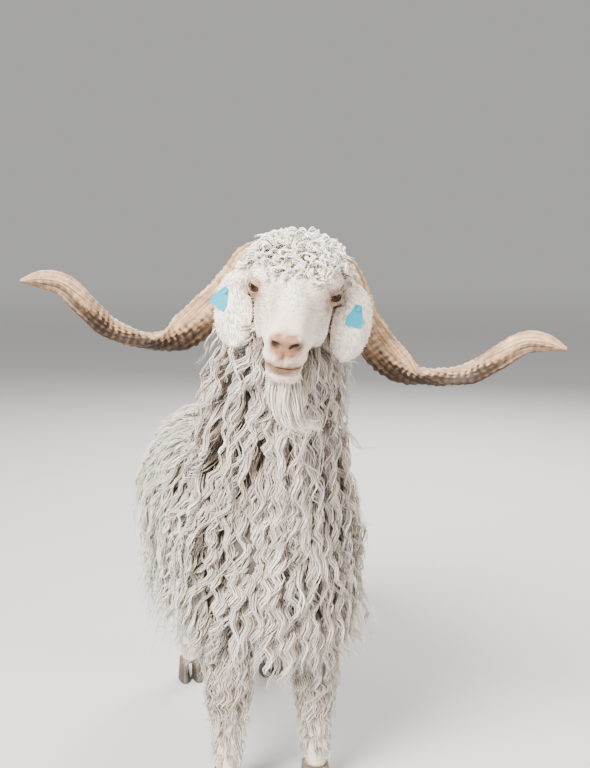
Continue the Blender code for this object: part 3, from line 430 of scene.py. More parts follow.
class GoatHeadSettings(bpy.types.PropertyGroup):
    """Colours of the face, eyes, horns and tags."""

    face: color_setting("Face", "Colour of the short hair of the face", (0.86, 0.74, 0.62))
    nose: color_setting("Nose", "Colour of the bare skin of nose and lips",
                        (0.225, 0.105, 0.053))
    iris: color_setting("Iris", "Colour of the iris", (0.040, 0.019, 0.007))
    horn: color_setting("Horn", "Light colour of the horns", (0.46, 0.29, 0.170))
    # Painted shade on the horns' lower side, and the colour of their dark root, grooves and
    # streaks
    horn_dark_and_shade: color_setting("Dark horn", "Colour of the horns' lower side",
                             (0.014, 0.006, 0.003))
    tag: color_setting("Tag", "Colour of the ear tags", (0.0, 0.26, 0.37))


class GoatStageSettings(bpy.types.PropertyGroup):
    """Floor and light."""

    floor: color_setting("Floor", "Colour of the floor", (0.52, 0.52, 0.515))
    floor_radius: length_setting("Floor radius", "Radius of the round floor", 150.0, 2.0,
                                 300.0)
    key: bpy.props.FloatProperty(
        name="Key light", description="Power of the main light", unit="POWER",
        default=1150.0, min=0.0)
    sky: bpy.props.FloatProperty(
        name="Sky", description="Strength of the even light all round", default=0.48, min=0.0)


def signed_power(value, exponent):
    """Raise the size of a number to a power and keep its sign."""
    return math.copysign(abs(value) ** exponent, value)


def smooth_step(value):
    """Ease a number from 0 to 1."""
    value = min(max(value, 0.0), 1.0)
    return value * value * (3 - 2 * value)


def shares(count):
    """Even steps from 0 to 1."""
    return [step / (count - 1) for step in range(count)]


def read_table(table, position):
    """Read a table of rows that start with a position, smoothly between its rows."""
    last = len(table) - 1
    index = 0
    while index < last - 1 and position > table[index + 1][0]:
        index += 1
    start = table[index]
    end = table[index + 1]
    before = table[max(index - 1, 0)]
    after = table[min(index + 2, last)]
    span = end[0] - start[0]
    share = min(max((position - start[0]) / span, 0.0), 1.0)
    values = []
    for column in range(1, len(start)):
        leave = span * (end[column] - before[column]) / (end[0] - before[0])
        arrive = span * (after[column] - start[column]) / (after[0] - start[0])
        values.append(
            start[column] * (1 + 2 * share) * (1 - share) ** 2
            + leave * share * (1 - share) ** 2
            + end[column] * share ** 2 * (3 - 2 * share)
            + arrive * share ** 2 * (share - 1)
        )
    return values


def level_head_place():
    """Head axes turned and rolled, not pitched, for what hangs from the head."""
    turn = Matrix.Rotation(HEAD_TURN, 4, "Z")
    roll = Matrix.Rotation(HEAD_ROLL, 4, "Y")
    return Matrix.Translation(EYE_MIDPOINT) @ turn @ roll @ Matrix.Scale(HEAD_SIZE, 4)


def head_place():
    """Head axes turned, rolled and pitched about the point between the eyes."""
    return level_head_place() @ Matrix.Rotation(HEAD_PITCH, 4, "X")


def horn_place():
    """Head axes for the horns, whose lengths are their own."""
    return head_place() @ Matrix.Scale(1 / HEAD_SIZE, 4)


def mirrored(vector, side):
    """A vector of the left side, or its mirror image on the right."""
    return Vector((vector[0] * side, vector[1], vector[2]))


def frame_shift():
    """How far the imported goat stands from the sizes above, read from its left eye."""
    low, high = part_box("eye_left")
    return (low + high) / 2 - head_place() @ EYE_CENTER


SHIFT = frame_shift()


def deselect():
    """Select nothing."""
    for thing in bpy.context.selected_objects:
        thing.select_set(False)


def select_only(thing):
    """Select one object and make it the active one."""
    deselect()
    thing.select_set(True)
    bpy.context.view_layer.objects.active = thing


def new_object(name, verts, faces):
    """A mesh object from points and faces."""
    mesh = bpy.data.meshes.new(name)
    mesh.from_pydata([tuple(point) for point in verts], [], faces)
    mesh.update()
    thing = bpy.data.objects.new(name, mesh)
    bpy.context.scene.collection.objects.link(thing)
    return thing


def loft(name, rings):
    """Join equal rings of points into one closed mesh that faces outward."""
    count = len(rings[0])
    verts = [point for ring in rings for point in ring]
    faces = []
    for row in range(len(rings) - 1):
        for index in range(count):
            beside = (index + 1) % count
            start = row * count
            faces.append((start + index, start + beside, start + count + beside,
                          start + count + index))
    for row in (0, len(rings) - 1):
        middle = sum((Vector(point) for point in rings[row]), Vector()) / count
        verts.append(middle)
        for index in range(count):
            faces.append((row * count + index, row * count + (index + 1) % count,
                          len(verts) - 1))
    thing = new_object(name, verts, faces)
    face_outward(thing)
    return thing


def face_outward(thing):
    """Turn all faces of a closed mesh outward."""
    shape = bmesh.new()
    shape.from_mesh(thing.data)
    bmesh.ops.recalc_face_normals(shape, faces=shape.faces)
    shape.to_mesh(thing.data)
    shape.free()


def ellipsoid(name, center, radii, turn=None, segments=32, rings=20):
    """A ball stretched to three radii and turned about its centre."""
    deselect()
    bpy.ops.mesh.primitive_uv_sphere_add(segments=segments, ring_count=rings, radius=1.0)
    thing = bpy.context.object
    thing.name = name
    spread = Matrix.Diagonal((*radii, 1.0))
    place = Matrix.Translation(Vector(center)) @ (turn or Matrix.Identity(4)) @ spread
    thing.data.transform(place)
    return thing


def join(pieces):
    """Join objects into the first one."""
    deselect()
    for piece in pieces:
        piece.select_set(True)
    bpy.context.view_layer.objects.active = pieces[0]
    bpy.ops.object.join()
    return pieces[0]


def apply_modifier(thing, kind, **values):
    """Add a modifier with its values and apply it."""
    change = thing.modifiers.new(kind.lower(), kind)
    for key, value in values.items():
        setattr(change, key, value)
    select_only(thing)
    bpy.ops.object.modifier_apply(modifier=change.name)


def remesh(thing, voxel, smoothing):
    """Fuse overlapping shapes into one even skin and smooth it."""
    select_only(thing)
    thing.data.remesh_voxel_size = voxel
    bpy.ops.object.voxel_remesh()
    apply_modifier(thing, "SMOOTH", factor=0.5, iterations=smoothing)


def combine(base, pieces, operation):
    """Fuse pieces with a base, or cut them from it, and take the pieces away."""
    group = bpy.data.collections.new(base.name + " pieces")
    bpy.context.scene.collection.children.link(group)
    for piece in pieces:
        for owner in piece.users_collection:
            owner.objects.unlink(piece)
        group.objects.link(piece)
    apply_modifier(base, "BOOLEAN", operation=operation, solver="MANIFOLD",
                   operand_type="COLLECTION", collection=group)
    for piece in pieces:
        bpy.data.objects.remove(piece, do_unlink=True)
    bpy.data.collections.remove(group)
    return base


def place_points(thing, matrix):
    """Move an object's own points by a matrix."""
    thing.data.transform(matrix)
    return thing


def finish_piece(thing, material):
    """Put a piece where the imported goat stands, smooth it and let it ride."""
    place_points(thing, Matrix.Translation(SHIFT))
    thing.data.materials.clear()
    thing.data.materials.append(material)
    for face in thing.data.polygons:
        face.use_smooth = True
        face.material_index = 0
    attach(thing, BODY)
    return thing


def read_values(rows, key, width, kind=float):
    """One attribute of all points or triangles of a mesh as rows of numbers."""
    values = np.zeros(len(rows) * width, dtype=kind)
    rows.foreach_get(key, values)
    return values.reshape(-1, width)


def points_of(thing):
    """The points of a mesh as an array."""
    return read_values(thing.data.vertices, "co", 3)


def paint_points(thing, colors):
    """Store a colour for each point in the attribute that the materials read."""
    layer = thing.data.color_attributes.new("Tint", "FLOAT_COLOR", "POINT")
    rows = np.ones((len(colors), 4), dtype=np.float32)
    rows[:, :3] = colors
    layer.data.foreach_set("color", rows.ravel())


def paint_plain(thing, color):
    """Store one colour for all points."""
    paint_points(thing, np.tile(np.array(color), (len(thing.data.vertices), 1)))


def noise_field(points, scale, seed):
    """A smooth random number for each point, from a few crossed waves."""
    draw = random.Random(seed)
    total = np.zeros(len(points))
    for turn in range(5):
        direction = np.array([draw.gauss(0, 1) for _ in range(3)])
        direction *= scale * (1 + 0.45 * turn) / np.linalg.norm(direction)
        total += np.sin(points @ direction + draw.uniform(0, 6.28)) / (1 + 0.45 * turn)
    return total / 2.4


def blob(points, center, reach):
    """How near each point is to a place, from 1 there to 0 far away."""
    away = (points - np.array(center)) / np.array(reach)
    return np.exp(-(away ** 2).sum(axis=1))


def sum_marks(points, marks):
    """Strength of a table of marks at each point, on both sides where off the middle."""
    total = np.zeros(len(points))
    for center, reach, strength in marks:
        for side in (1, -1) if center[0] else (1,):
            place = (center[0] * side, center[1], center[2])
            total += strength * blob(points, place, reach)
    return total


def ramp(values, start, end):
    """0 at a start value, 1 at an end value and straight between them."""
    return np.clip((values - start) / (end - start), 0, 1)


def blend(base, over, share):
    """Mix colours by a share from 0 to 1 for each point."""
    share = np.clip(share, 0, 1)[:, None]
    return base * (1 - share) + over * share


def head_ring(back):
    """One section of the head, wider above or below as the table says."""
    top, bottom, upper, lower = read_table(HEAD_STATIONS, back)
    ring = []
    for step in range(HEAD_CORNERS):
        angle = 2 * math.pi * step / HEAD_CORNERS
        rise = signed_power(math.sin(angle), HEAD_SQUARENESS)
        side = signed_power(math.cos(angle), HEAD_SQUARENESS)
        half = lower + (upper - lower) * (rise + 1) / 2
        ring.append(Vector((half * side, back, (top + bottom) / 2 + rise * (top - bottom) / 2)))
    return ring


def head_flesh():
    """Skull, jaw, brows, cheeks, lips and lids in head axes, with soft forms."""
    first = HEAD_STATIONS[0][0]
    length = HEAD_STATIONS[-1][0] - first
    rings = []
    for step in range(HEAD_RINGS):
        share = (1 - math.cos(math.pi * step / (HEAD_RINGS - 1))) / 2
        rings.append(head_ring(first + length * share))
    pieces = [loft("skin", rings)]
    for side in (-1, 1):
        for center, radii in HEAD_LUMPS:
            pieces.append(ellipsoid("flesh", mirrored(center, side), radii))
        pieces.append(ellipsoid("lids", mirrored(EYE_CENTER, side), (LID_RADIUS,) * 3))
    head = join(pieces)
    remesh(head, HEAD_VOXEL, SKIN_SMOOTHING)
    shape_face(head)
    return head


def shape_face(head):
    """Press the soft forms of the face into the head."""
    points = points_of(head)
    move = sum_marks(points, FACE_FORMS)
    for side in (-1, 1):
        move += lid_folds(points, side)
    points = points + read_values(head.data.vertices, "normal", 3) * move[:, None]
    head.data.vertices.foreach_set("co", points.ravel())
    head.data.update()


def eye_axes(side):
    """The eye's aim, the length of its opening and its height."""
    aim = mirrored(EYE_AIM, side)
    along = aim.cross(Vector((0, 0, 1))).normalized()
    along = (along * side + Vector((0, 0, 0.06))).normalized()
    up = aim.cross(along).normalized() * side
    if up.z < 0:
        up = -up
    return aim, along, up


def lid_folds(points, side):
    """Creases that run round the eye outside its lids."""
    aim, along, up = eye_axes(side)
    away = points - np.array(mirrored(EYE_CENTER, side))
    near = np.exp(-((away ** 2).sum(axis=1) / 0.030 ** 2))
    length = away @ np.array(along) / LID_OPENING[0]
    height = away @ np.array(up) / LID_OPENING[1]
    ring = np.sqrt(length ** 2 * 0.8 + height ** 2)
    fold = -0.0011 * np.exp(-((ring - 1.85) / 0.16) ** 2)
    fold += -0.0007 * np.exp(-((ring - 2.6) / 0.20) ** 2) * (height > 0)
    return fold * near * (away @ np.array(aim) > 0)


def opening_ring(side, reach, widen):
    """The almond between the lids at some reach out along the eye's aim."""
    aim, along, up = eye_axes(side)
    center = mirrored(EYE_CENTER, side)
    ring = []
    for step in range(28):
        angle = 2 * math.pi * step / 28
        length = math.cos(angle) * LID_OPENING[0] * widen
        height = signed_power(math.sin(angle), 1.35) * LID_OPENING[1] * widen
        ring.append(center + aim * reach + along * length + up * height)
    return ring


def lid_opening(side):
    """The almond between the lids, as a cutter along the eye's aim."""
    return loft("lid opening", [opening_ring(side, 0.009, 1.0), opening_ring(side, 0.034, 1.3)])


def closed_tube(name, path, radius, corners=8):
    """A round tube along a closed path of points."""
    rings = []
    for index, point in enumerate(path):
        ahead = (path[(index + 1) % len(path)] - path[index - 1]).normalized()
        across = ahead.orthogonal().normalized()
        if rings:
            before = rings[-1][0] - path[index - 1]
            across = (before - ahead * before.dot(ahead)).normalized()
        up = ahead.cross(across)
        rings.append(oval_ring(point, across, up, radius, radius, corners))
    rings.append(list(rings[0]))
    return loft(name, rings)


def lid_rim(side):
    """The soft rim of the lids, a tube on the edge of their opening."""
    center = mirrored(EYE_CENTER, side)
    path = []
    for point in opening_ring(side, 0.012, 1.02):
        path.append(center + (point - center).normalized() * (LID_RADIUS - 0.0012))
    return closed_tube("lid rim", path, LID_RIM)


def mouth_cut():
    """A thin curved cutter that draws the line of the mouth."""
    rings = []
    for step in range(41):
        angle = math.radians(-MOUTH_TURN + 2 * MOUTH_TURN * step / 40)
        out = Vector((math.sin(angle), -math.cos(angle), 0))
        rise = MOUTH_UP + 0.010 * (angle / 2) ** 2
        ring = []
        for reach, half in MOUTH_SECTION:
            ring.append(Vector((out.x * reach * 0.85, MOUTH_BACK + out.y * reach, rise + half)))
        rings.append(ring)
    return loft("mouth line", rings)


def nostril_cut(side):
    """A slanted nostril, wide inside and rising to the wing."""
    slant = Matrix.Rotation(side * NOSTRIL_SLANT, 4, "Y")
    turn = Matrix.Rotation(side * NOSTRIL_TURN, 4, "Z")
    return ellipsoid("nostril", mirrored(NOSTRIL_CENTER, side), NOSTRIL_RADII, turn @ slant)


def ear_frame(share, side):
    """Centre, across, outward direction, half width and cup of an ear, level axes."""
    values = read_table(EAR_STATIONS, share)
    center = Vector(values[:3])
    ahead = Vector(read_table(EAR_STATIONS, min(share + 0.02, 1.0))[:3])
    behind = Vector(read_table(EAR_STATIONS, max(share - 0.02, 0.0))[:3])
    axis = (ahead - behind).normalized()
    across = axis.cross(EAR_FACING).normalized()
    out = across.cross(axis).normalized()
    mirror = [mirrored(vector, side) for vector in (center, across, out)]
    return mirror + [values[3], values[4]]


def ear(side):
    """One hanging ear, a cupped leaf with a rounded rim and a faint fold."""
    rings = []
    for step in range(EAR_RINGS):
        share = 1 - (1 - step / (EAR_RINGS - 1)) ** 1.25
        center, across, out, half, cup = ear_frame(share, side)
        front = []
        back = []
        for column in range(EAR_COLUMNS):
            spread = column / (EAR_COLUMNS - 1) * 2 - 1
            fold = 0.0012 * math.sin(spread * 5 + share * 4) * math.sin(share * math.pi)
            bend = out * (fold - cup * abs(spread) ** 2.2)
            skin = EAR_THICKNESS / 2 * (1 - 0.45 * abs(spread) ** 3)
            spot = center + across * half * spread + bend
            front.append(spot + out * skin)
            back.append(spot - out * skin)
        rings.append(front + list(reversed(back)))
    return place_points(loft("ear", rings), level_head_place())


def neck_frame(share):
    """Centre, axis, front direction and half sizes of the neck's skin."""
    back, up, half_width, half_depth = read_table(NECK_STATIONS, share)
    ahead = read_table(NECK_STATIONS, min(share + 0.02, 1.0))
    behind = read_table(NECK_STATIONS, max(share - 0.02, 0.0))
    axis = Vector((0.0, ahead[0] - behind[0], ahead[1] - behind[1])).normalized()
    front = Vector((1.0, 0.0, 0.0)).cross(axis)
    if front.y > 0:
        front = -front
    return Vector((0.0, back, up)), axis, front, half_width, half_depth


def neck_coat(share):
    """Depth of the neck's coat, short behind the jaw and full from a third down."""
    full = smooth_step(share / 0.35)
    return NECK_COAT_AT_HEAD + (NECK_COAT - NECK_COAT_AT_HEAD) * full


def oval_ring(center, across, up, half_across, half_up, count):
    """Points of an oval about a centre."""
    ring = []
    for step in range(count):
        angle = 2 * math.pi * step / count
        ring.append(center + across * math.cos(angle) * half_across
                    + up * math.sin(angle) * half_up)
    return ring


def torso_skin(back, angle, lift):
    """A point over the torso's skin; the angle runs from the spine to the belly."""
    half_width, bottom, top = read_table(TORSO_STATIONS, back)
    half_height = (top - bottom) / 2
    normal = Vector((math.sin(angle) / half_width, 0.0, math.cos(angle) / half_height))
    normal.normalize()
    side = signed_power(math.sin(angle), 0.92) * half_width
    rise = signed_power(math.cos(angle), 0.92) * half_height
    return Vector((side, back, (top + bottom) / 2 + rise)) + normal * lift, normal


def coat_depth(angle):
    """Depth of the torso's coat, deepest low on the sides."""
    share = (1 - math.cos(min(abs(angle), math.radians(110)) * 180 / 110)) / 2
    return TORSO_COAT_BACK + (TORSO_COAT_SIDE - TORSO_COAT_BACK) * share


def body_flesh():
    """Neck, torso, limbs and tail without their coat."""
    x_axis = Vector((1.0, 0.0, 0.0))
    y_axis = Vector((0.0, 1.0, 0.0))
    rings = []
    for step in range(24):
        center, _, front, half_width, half_depth = neck_frame(step / 23)
        rings.append(oval_ring(center, x_axis, front, half_width, half_depth, 40))
    pieces = [loft("body", rings)]
    first = TORSO_STATIONS[0][0]
    length = TORSO_STATIONS[-1][0] - first
    rings = []
    for step in range(40):
        rings.append([torso_skin(first + length * step / 39, 2 * math.pi * corner / 48, 0.0)[0]
                      for corner in range(48)])
    pieces.append(loft("torso", rings))
    for side in (-1, 1):
        for center, radii in (SHOULDER, THIGH):
            pieces.append(ellipsoid("limb", mirrored(center, side), radii))
        for stations in (FORELEG_STATIONS, HINDLEG_STATIONS):
            rings = []
            for step in range(30):
                across, back, up, half_width, half_depth = read_table(stations, step / 29)
                center = Vector((across * side, back, up))
                rings.append(oval_ring(center, x_axis, y_axis, half_width - LEG_WOOL,
                                       half_depth - LEG_WOOL, 28))
            pieces.append(loft("leg", rings))
    rings = []
    for step in range(12):
        back, up, half_width, half_depth = read_table(TAIL_STATIONS, step / 11)
        rings.append(oval_ring(Vector((0.0, back, up)), x_axis, Vector((0.0, 0.45, 0.9)),
                               half_width * 0.6, half_depth * 0.6, 20))
    pieces.append(loft("tail", rings))
    body = join(pieces)
    remesh(body, BODY_VOXEL, SKIN_SMOOTHING)
    return body


def head_points(points):
    """Points of the goat's frame in head axes."""
    back = np.array(head_place().inverted())
    return points @ back[:3, :3].T + back[:3, 3]


def face_markings(points):
    """Colour of the skin and the short hair at points in head axes, with tan hair, painted shade
    round the eyes and down the bridge, and painted shade in the mouth line and nostrils.
    """
    look = bpy.context.scene.goat_head
    colors = np.array(look.face) * (1 + 0.06 * noise_field(points, 60.0, 3))[:, None]
    # Tan hair, and painted shade round the eyes and down the bridge
    tan_and_shade = sum_marks(points, TAN_AND_SHADE_MARKS) * (1 + 0.22 * noise_field(points, 240.0, 8))
    colors = blend(colors, np.array(TAN_AND_SHADE_COLOR), tan_and_shade)
    bare = sum_marks(points, BARE_MARKS) * (1 + 0.30 * noise_field(points, 330.0, 9))
    nose = np.array(look.nose) * (1 + 0.22 * noise_field(points, 420.0, 10))[:, None]
    colors = blend(colors, nose, bare)
    # Painted shade in the mouth line and the nostrils
    dark = np.clip(sum_marks(points, MOUTH_AND_NOSTRIL_SHADE), 0, 1)
    return colors * (1 - 0.85 * dark[:, None])


def skin_colors(points):
    """Markings on head and ears, painted shade on the skin of the body between the locks, pale
    where wool is thin.
    """
    coat = bpy.context.scene.goat_coat
    local = head_points(points)
    height = points[:, 2]
    behind = ramp(local[:, 1], 0.085, 0.125)
    below = ramp(height, 0.985, 0.955) * ramp(local[:, 1], -0.095, -0.055)
    below = np.maximum(below, ramp(height, 0.890, 0.870))
    crown = np.clip(2 * blob(local, (0.0, 0.050, 0.090), (0.120, 0.110, 0.080)), 0, 1)
    # Painted shade behind the head, under the jaw and on the body, where gaps between the locks
    # show the skin
    gap_shade_share = np.maximum(behind, below) * (1 - ear_mask(points)) * (1 - crown)
    colors = blend(face_markings(local), np.array(coat.gap_shade), gap_shade_share)
    legs = ramp(height, 0.400, 0.320)
    back = 0.8 * ramp(height, 0.640, 0.690) * (points[:, 1] > -0.02)
    return blend(colors, THIN_WOOL * np.array(coat.fleece), np.maximum(legs, back))


def build_skin():
    """One skin for head, ears, neck, torso, legs and tail."""
    place = head_place()
    skin = place_points(head_flesh(), place)
    combine(skin, [body_flesh(), ear(-1), ear(1)], "UNION")
    cuts = [mouth_cut()]
    for side in (-1, 1):
        socket = mirrored(EYE_CENTER, side)
        cuts.append(ellipsoid("socket", socket, (EYE_RADIUS + EYE_GAP,) * 3))
        cuts.append(lid_opening(side))
        cuts.append(nostril_cut(side))
    for cut in cuts:
        place_points(cut, place)
    combine(skin, cuts, "DIFFERENCE")
    skin.name = "skin"
    paint_points(skin, skin_colors(points_of(skin)))
    finish_piece(skin, skin_material())
    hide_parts("torso", "neck", "tail", "head", "ear_left", "ear_right",
                "foreleg_left", "foreleg_right", "hindleg_left", "hindleg_right")


def build_lid_rims():
    """The dark soft rims of both eyes' lids."""
    rims = join([place_points(lid_rim(side), head_place()) for side in (-1, 1)])
    rims.name = "lid_rims"
    paint_plain(rims, LID_RIM_COLOR)
    finish_piece(rims, skin_material())


def ear_mask(points):
    """1 for the points that belong to an ear, else 0."""
    back = np.array(level_head_place().inverted())
    local = points @ back[:3, :3].T + back[:3, 3]
    return ((np.abs(local[:, 0]) > 0.074) & (local[:, 2] < 0.035) & (local[:, 2] > -0.125)
            & (local[:, 1] < 0.045)).astype(float)


def set_values(step, **values):
    """Set a node's inputs by name."""
    for key, value in values.items():
        step.inputs[key.replace("_", " ")].default_value = value
    return step


def add_node(tree, kind, feeds, **values):
    """Add a shader node, feed its inputs from sockets and set its other inputs."""
    step = tree.nodes.new("ShaderNode" + kind)
    for key, socket in feeds.items():
        tree.links.new(socket, step.inputs[key])
    return set_values(step, **values)


def shared_group(name, inputs, output_names):
    """A new shader group with its inputs and outputs."""
    group = bpy.data.node_groups.new(name, "ShaderNodeTree")
    for label, kind, value in inputs:
        socket = group.interface.new_socket(label, in_out="INPUT", socket_type=kind)
        if value is not None:
            socket.default_value = value
    for label in output_names:
        group.interface.new_socket(label, in_out="OUTPUT", socket_type="NodeSocketFloat")
    start = group.nodes.new("NodeGroupInput")
    end = group.nodes.new("NodeGroupOutput")
    return group, start, end


def fibre_group():
    """Fine streaks that run along a strand or a horn."""
    if "Fibres" in bpy.data.node_groups:
        return bpy.data.node_groups["Fibres"]
    group, start, end = shared_group("Fibres", (
        ("Vector", "NodeSocketVector", None), ("Across", "NodeSocketFloat", 26.0),
        ("Along", "NodeSocketFloat", 1.6)), ("Streaks",))
    scale = add_node(group, "CombineXYZ", {"X": start.outputs["Across"],
                                           "Y": start.outputs["Along"]}, Z=1.0)
    stretch = add_node(group, "VectorMath", {0: start.outputs["Vector"],
                                             1: scale.outputs["Vector"]})
    stretch.operation = "MULTIPLY"
    streaks = add_node(group, "TexNoise", {"Vector": stretch.outputs["Vector"]}, Scale=1.0,
                       Detail=3.0, Roughness=0.6)
    group.links.new(streaks.outputs["Fac"], end.inputs["Streaks"])
    return group


def strand_streaks(tree, across, along):
    """Streaks that follow a piece's own strand map."""
    where = tree.nodes.new("ShaderNodeUVMap")
    where.uv_map = "Strand"
    fibres = place_group(tree, fibre_group(), where.outputs["UV"], Across=across, Along=along)
    return fibres.outputs["Streaks"]


def mottle_group():
    """Cloudy patches and fine grain that follow an object's own space."""
    if "Mottle" in bpy.data.node_groups:
        return bpy.data.node_groups["Mottle"]
    group, start, end = shared_group("Mottle", (
        ("Vector", "NodeSocketVector", None), ("Cloud Scale", "NodeSocketFloat", 18.0),
        ("Grain Scale", "NodeSocketFloat", 420.0)), ("Clouds", "Grain"))
    for scale, result, detail, roughness in (("Cloud Scale", "Clouds", 4.0, 0.6),
                                             ("Grain Scale", "Grain", 3.0, 0.65)):
        noise = add_node(group, "TexNoise", {"Vector": start.outputs["Vector"],
                                             "Scale": start.outputs[scale]},
                         Detail=detail, Roughness=roughness)
        group.links.new(noise.outputs["Fac"], end.inputs[result])
    return group


def start_material(name, roughness):
    """A material, its nodes' tree and its shader."""
    material = bpy.data.materials.new(name)
    material.use_nodes = True
    tree = material.node_tree
    shader = tree.nodes["Principled BSDF"]
    shader.inputs["Roughness"].default_value = roughness
    return material, tree, shader


def place_group(tree, group, vector, **values):
    """Put a shared group in a material and feed it a vector."""
    step = tree.nodes.new("ShaderNodeGroup")
    step.node_tree = group
    tree.links.new(vector, step.inputs["Vector"])
    return set_values(step, **values)


def tint_output(tree):
    """The colour that is stored on the piece's points."""
    step = tree.nodes.new("ShaderNodeAttribute")
    step.attribute_name = "Tint"
    return step.outputs["Color"]


def shade_by(tree, color, mask, dark, light):
    """Darken and lighten a colour by a mask."""
    span = add_node(tree, "MapRange", {"Value": mask}, From_Min=0.32, From_Max=0.68,
                    To_Min=dark, To_Max=light)
    scale = tree.nodes.new("ShaderNodeVectorMath")
    scale.operation = "SCALE"
    tree.links.new(color, scale.inputs[0])
    tree.links.new(span.outputs["Result"], scale.inputs["Scale"])
    return scale.outputs["Vector"]


def add_bump(tree, shader, height, strength, distance):
    """Feed a height to a shader's normal."""
    bump = add_node(tree, "Bump", {"Height": height}, Strength=strength, Distance=distance)
    tree.links.new(bump.outputs["Normal"], shader.inputs["Normal"])


def hair_material(name, roughness, across, along, dark, light, strength):
    """Mohair or short hair: stored colour with fibres that run along each lock."""
    if name in bpy.data.materials:
        return bpy.data.materials[name]
    material, tree, shader = start_material(name, roughness)
    streaks = strand_streaks(tree, across, along)
    color = shade_by(tree, tint_output(tree), streaks, dark, light)
    tree.links.new(color, shader.inputs["Base Color"])
    add_bump(tree, shader, streaks, strength, 0.0012)
    set_values(shader, Specular_IOR_Level=0.35, Sheen_Weight=0.25, Sheen_Roughness=0.5,
               Subsurface_Weight=0.50, Subsurface_Scale=1.0,
               Subsurface_Radius=(0.008, 0.006, 0.004))
    return material


def mottled_material(name, roughness, scales, tones, bump=None, **values):
    """Stored colour with cloudy patches and a fine grain in low relief."""
    if name in bpy.data.materials:
        return bpy.data.materials[name]
    material, tree, shader = start_material(name, roughness)
    space = add_node(tree, "TexCoord", {})
    mottle = place_group(tree, mottle_group(), space.outputs["Object"],
                         Cloud_Scale=scales[0], Grain_Scale=scales[1])
    color = shade_by(tree, tint_output(tree), mottle.outputs["Clouds"], *tones)
    tree.links.new(color, shader.inputs["Base Color"])
    if bump:
        add_bump(tree, shader, mottle.outputs["Grain"], *bump)
    set_values(shader, **values)
    return material


def fleece_material():
    """Long wavy mohair."""
    return hair_material("mohair fleece", 0.55, 5.0, 0.7, 0.50, 1.30, 0.8)


def curl_material():
    """Bright springy curls of the crown."""
    return hair_material("crown curls", 0.60, 3.0, 0.7, 0.86, 1.12, 0.4)


def short_hair_material():
    """Short flat hair of face and ears."""
    return hair_material("short hair", 0.70, 3.0, 0.6, 0.84, 1.08, 0.2)


def skin_material():
    """Hair and bare skin under the tufts, with grain for the flat short fur."""
    return mottled_material("hair covered skin", 0.62, (45.0, 900.0), (0.93, 1.05),
                            (0.45, 0.0010), Subsurface_Weight=0.10, Subsurface_Scale=1.0,
                            Subsurface_Radius=(0.004, 0.002, 0.001))


def horn_material():
    """Horn with stored streaks, ring lines and fine grain."""
    material = mottled_material("ringed horn", 0.60, (38.0, 260.0), (0.60, 1.30),
                                (0.5, 0.0014), Specular_IOR_Level=0.25)
    tree = material.node_tree
    base = tree.nodes["Principled BSDF"].inputs["Base Color"]
    streaks = strand_streaks(tree, 38.0, 0.8)
    tree.links.new(shade_by(tree, base.links[0].from_socket, streaks, 0.40, 1.45), base)
    return material


def hoof_material():
    """Dull dark hoof, paler toward the coronet."""
    return mottled_material("hoof horn", 0.55, (60.0, 500.0), (0.75, 1.3), (0.4, 0.0010))


def eye_material():
    """Wet eye with stored iris and pupil colours."""
    return mottled_material("wet eye", 0.22, (420.0, 900.0), (0.75, 1.25),
                            Specular_IOR_Level=0.12, Coat_Weight=0.12, Coat_Roughness=0.03)


def tag_material():
    """Moulded cyan plastic, scuffed and a little dusty."""
    return mottled_material("tag plastic", 0.42, (160.0, 1500.0), (0.88, 1.10), (0.2, 0.0004))


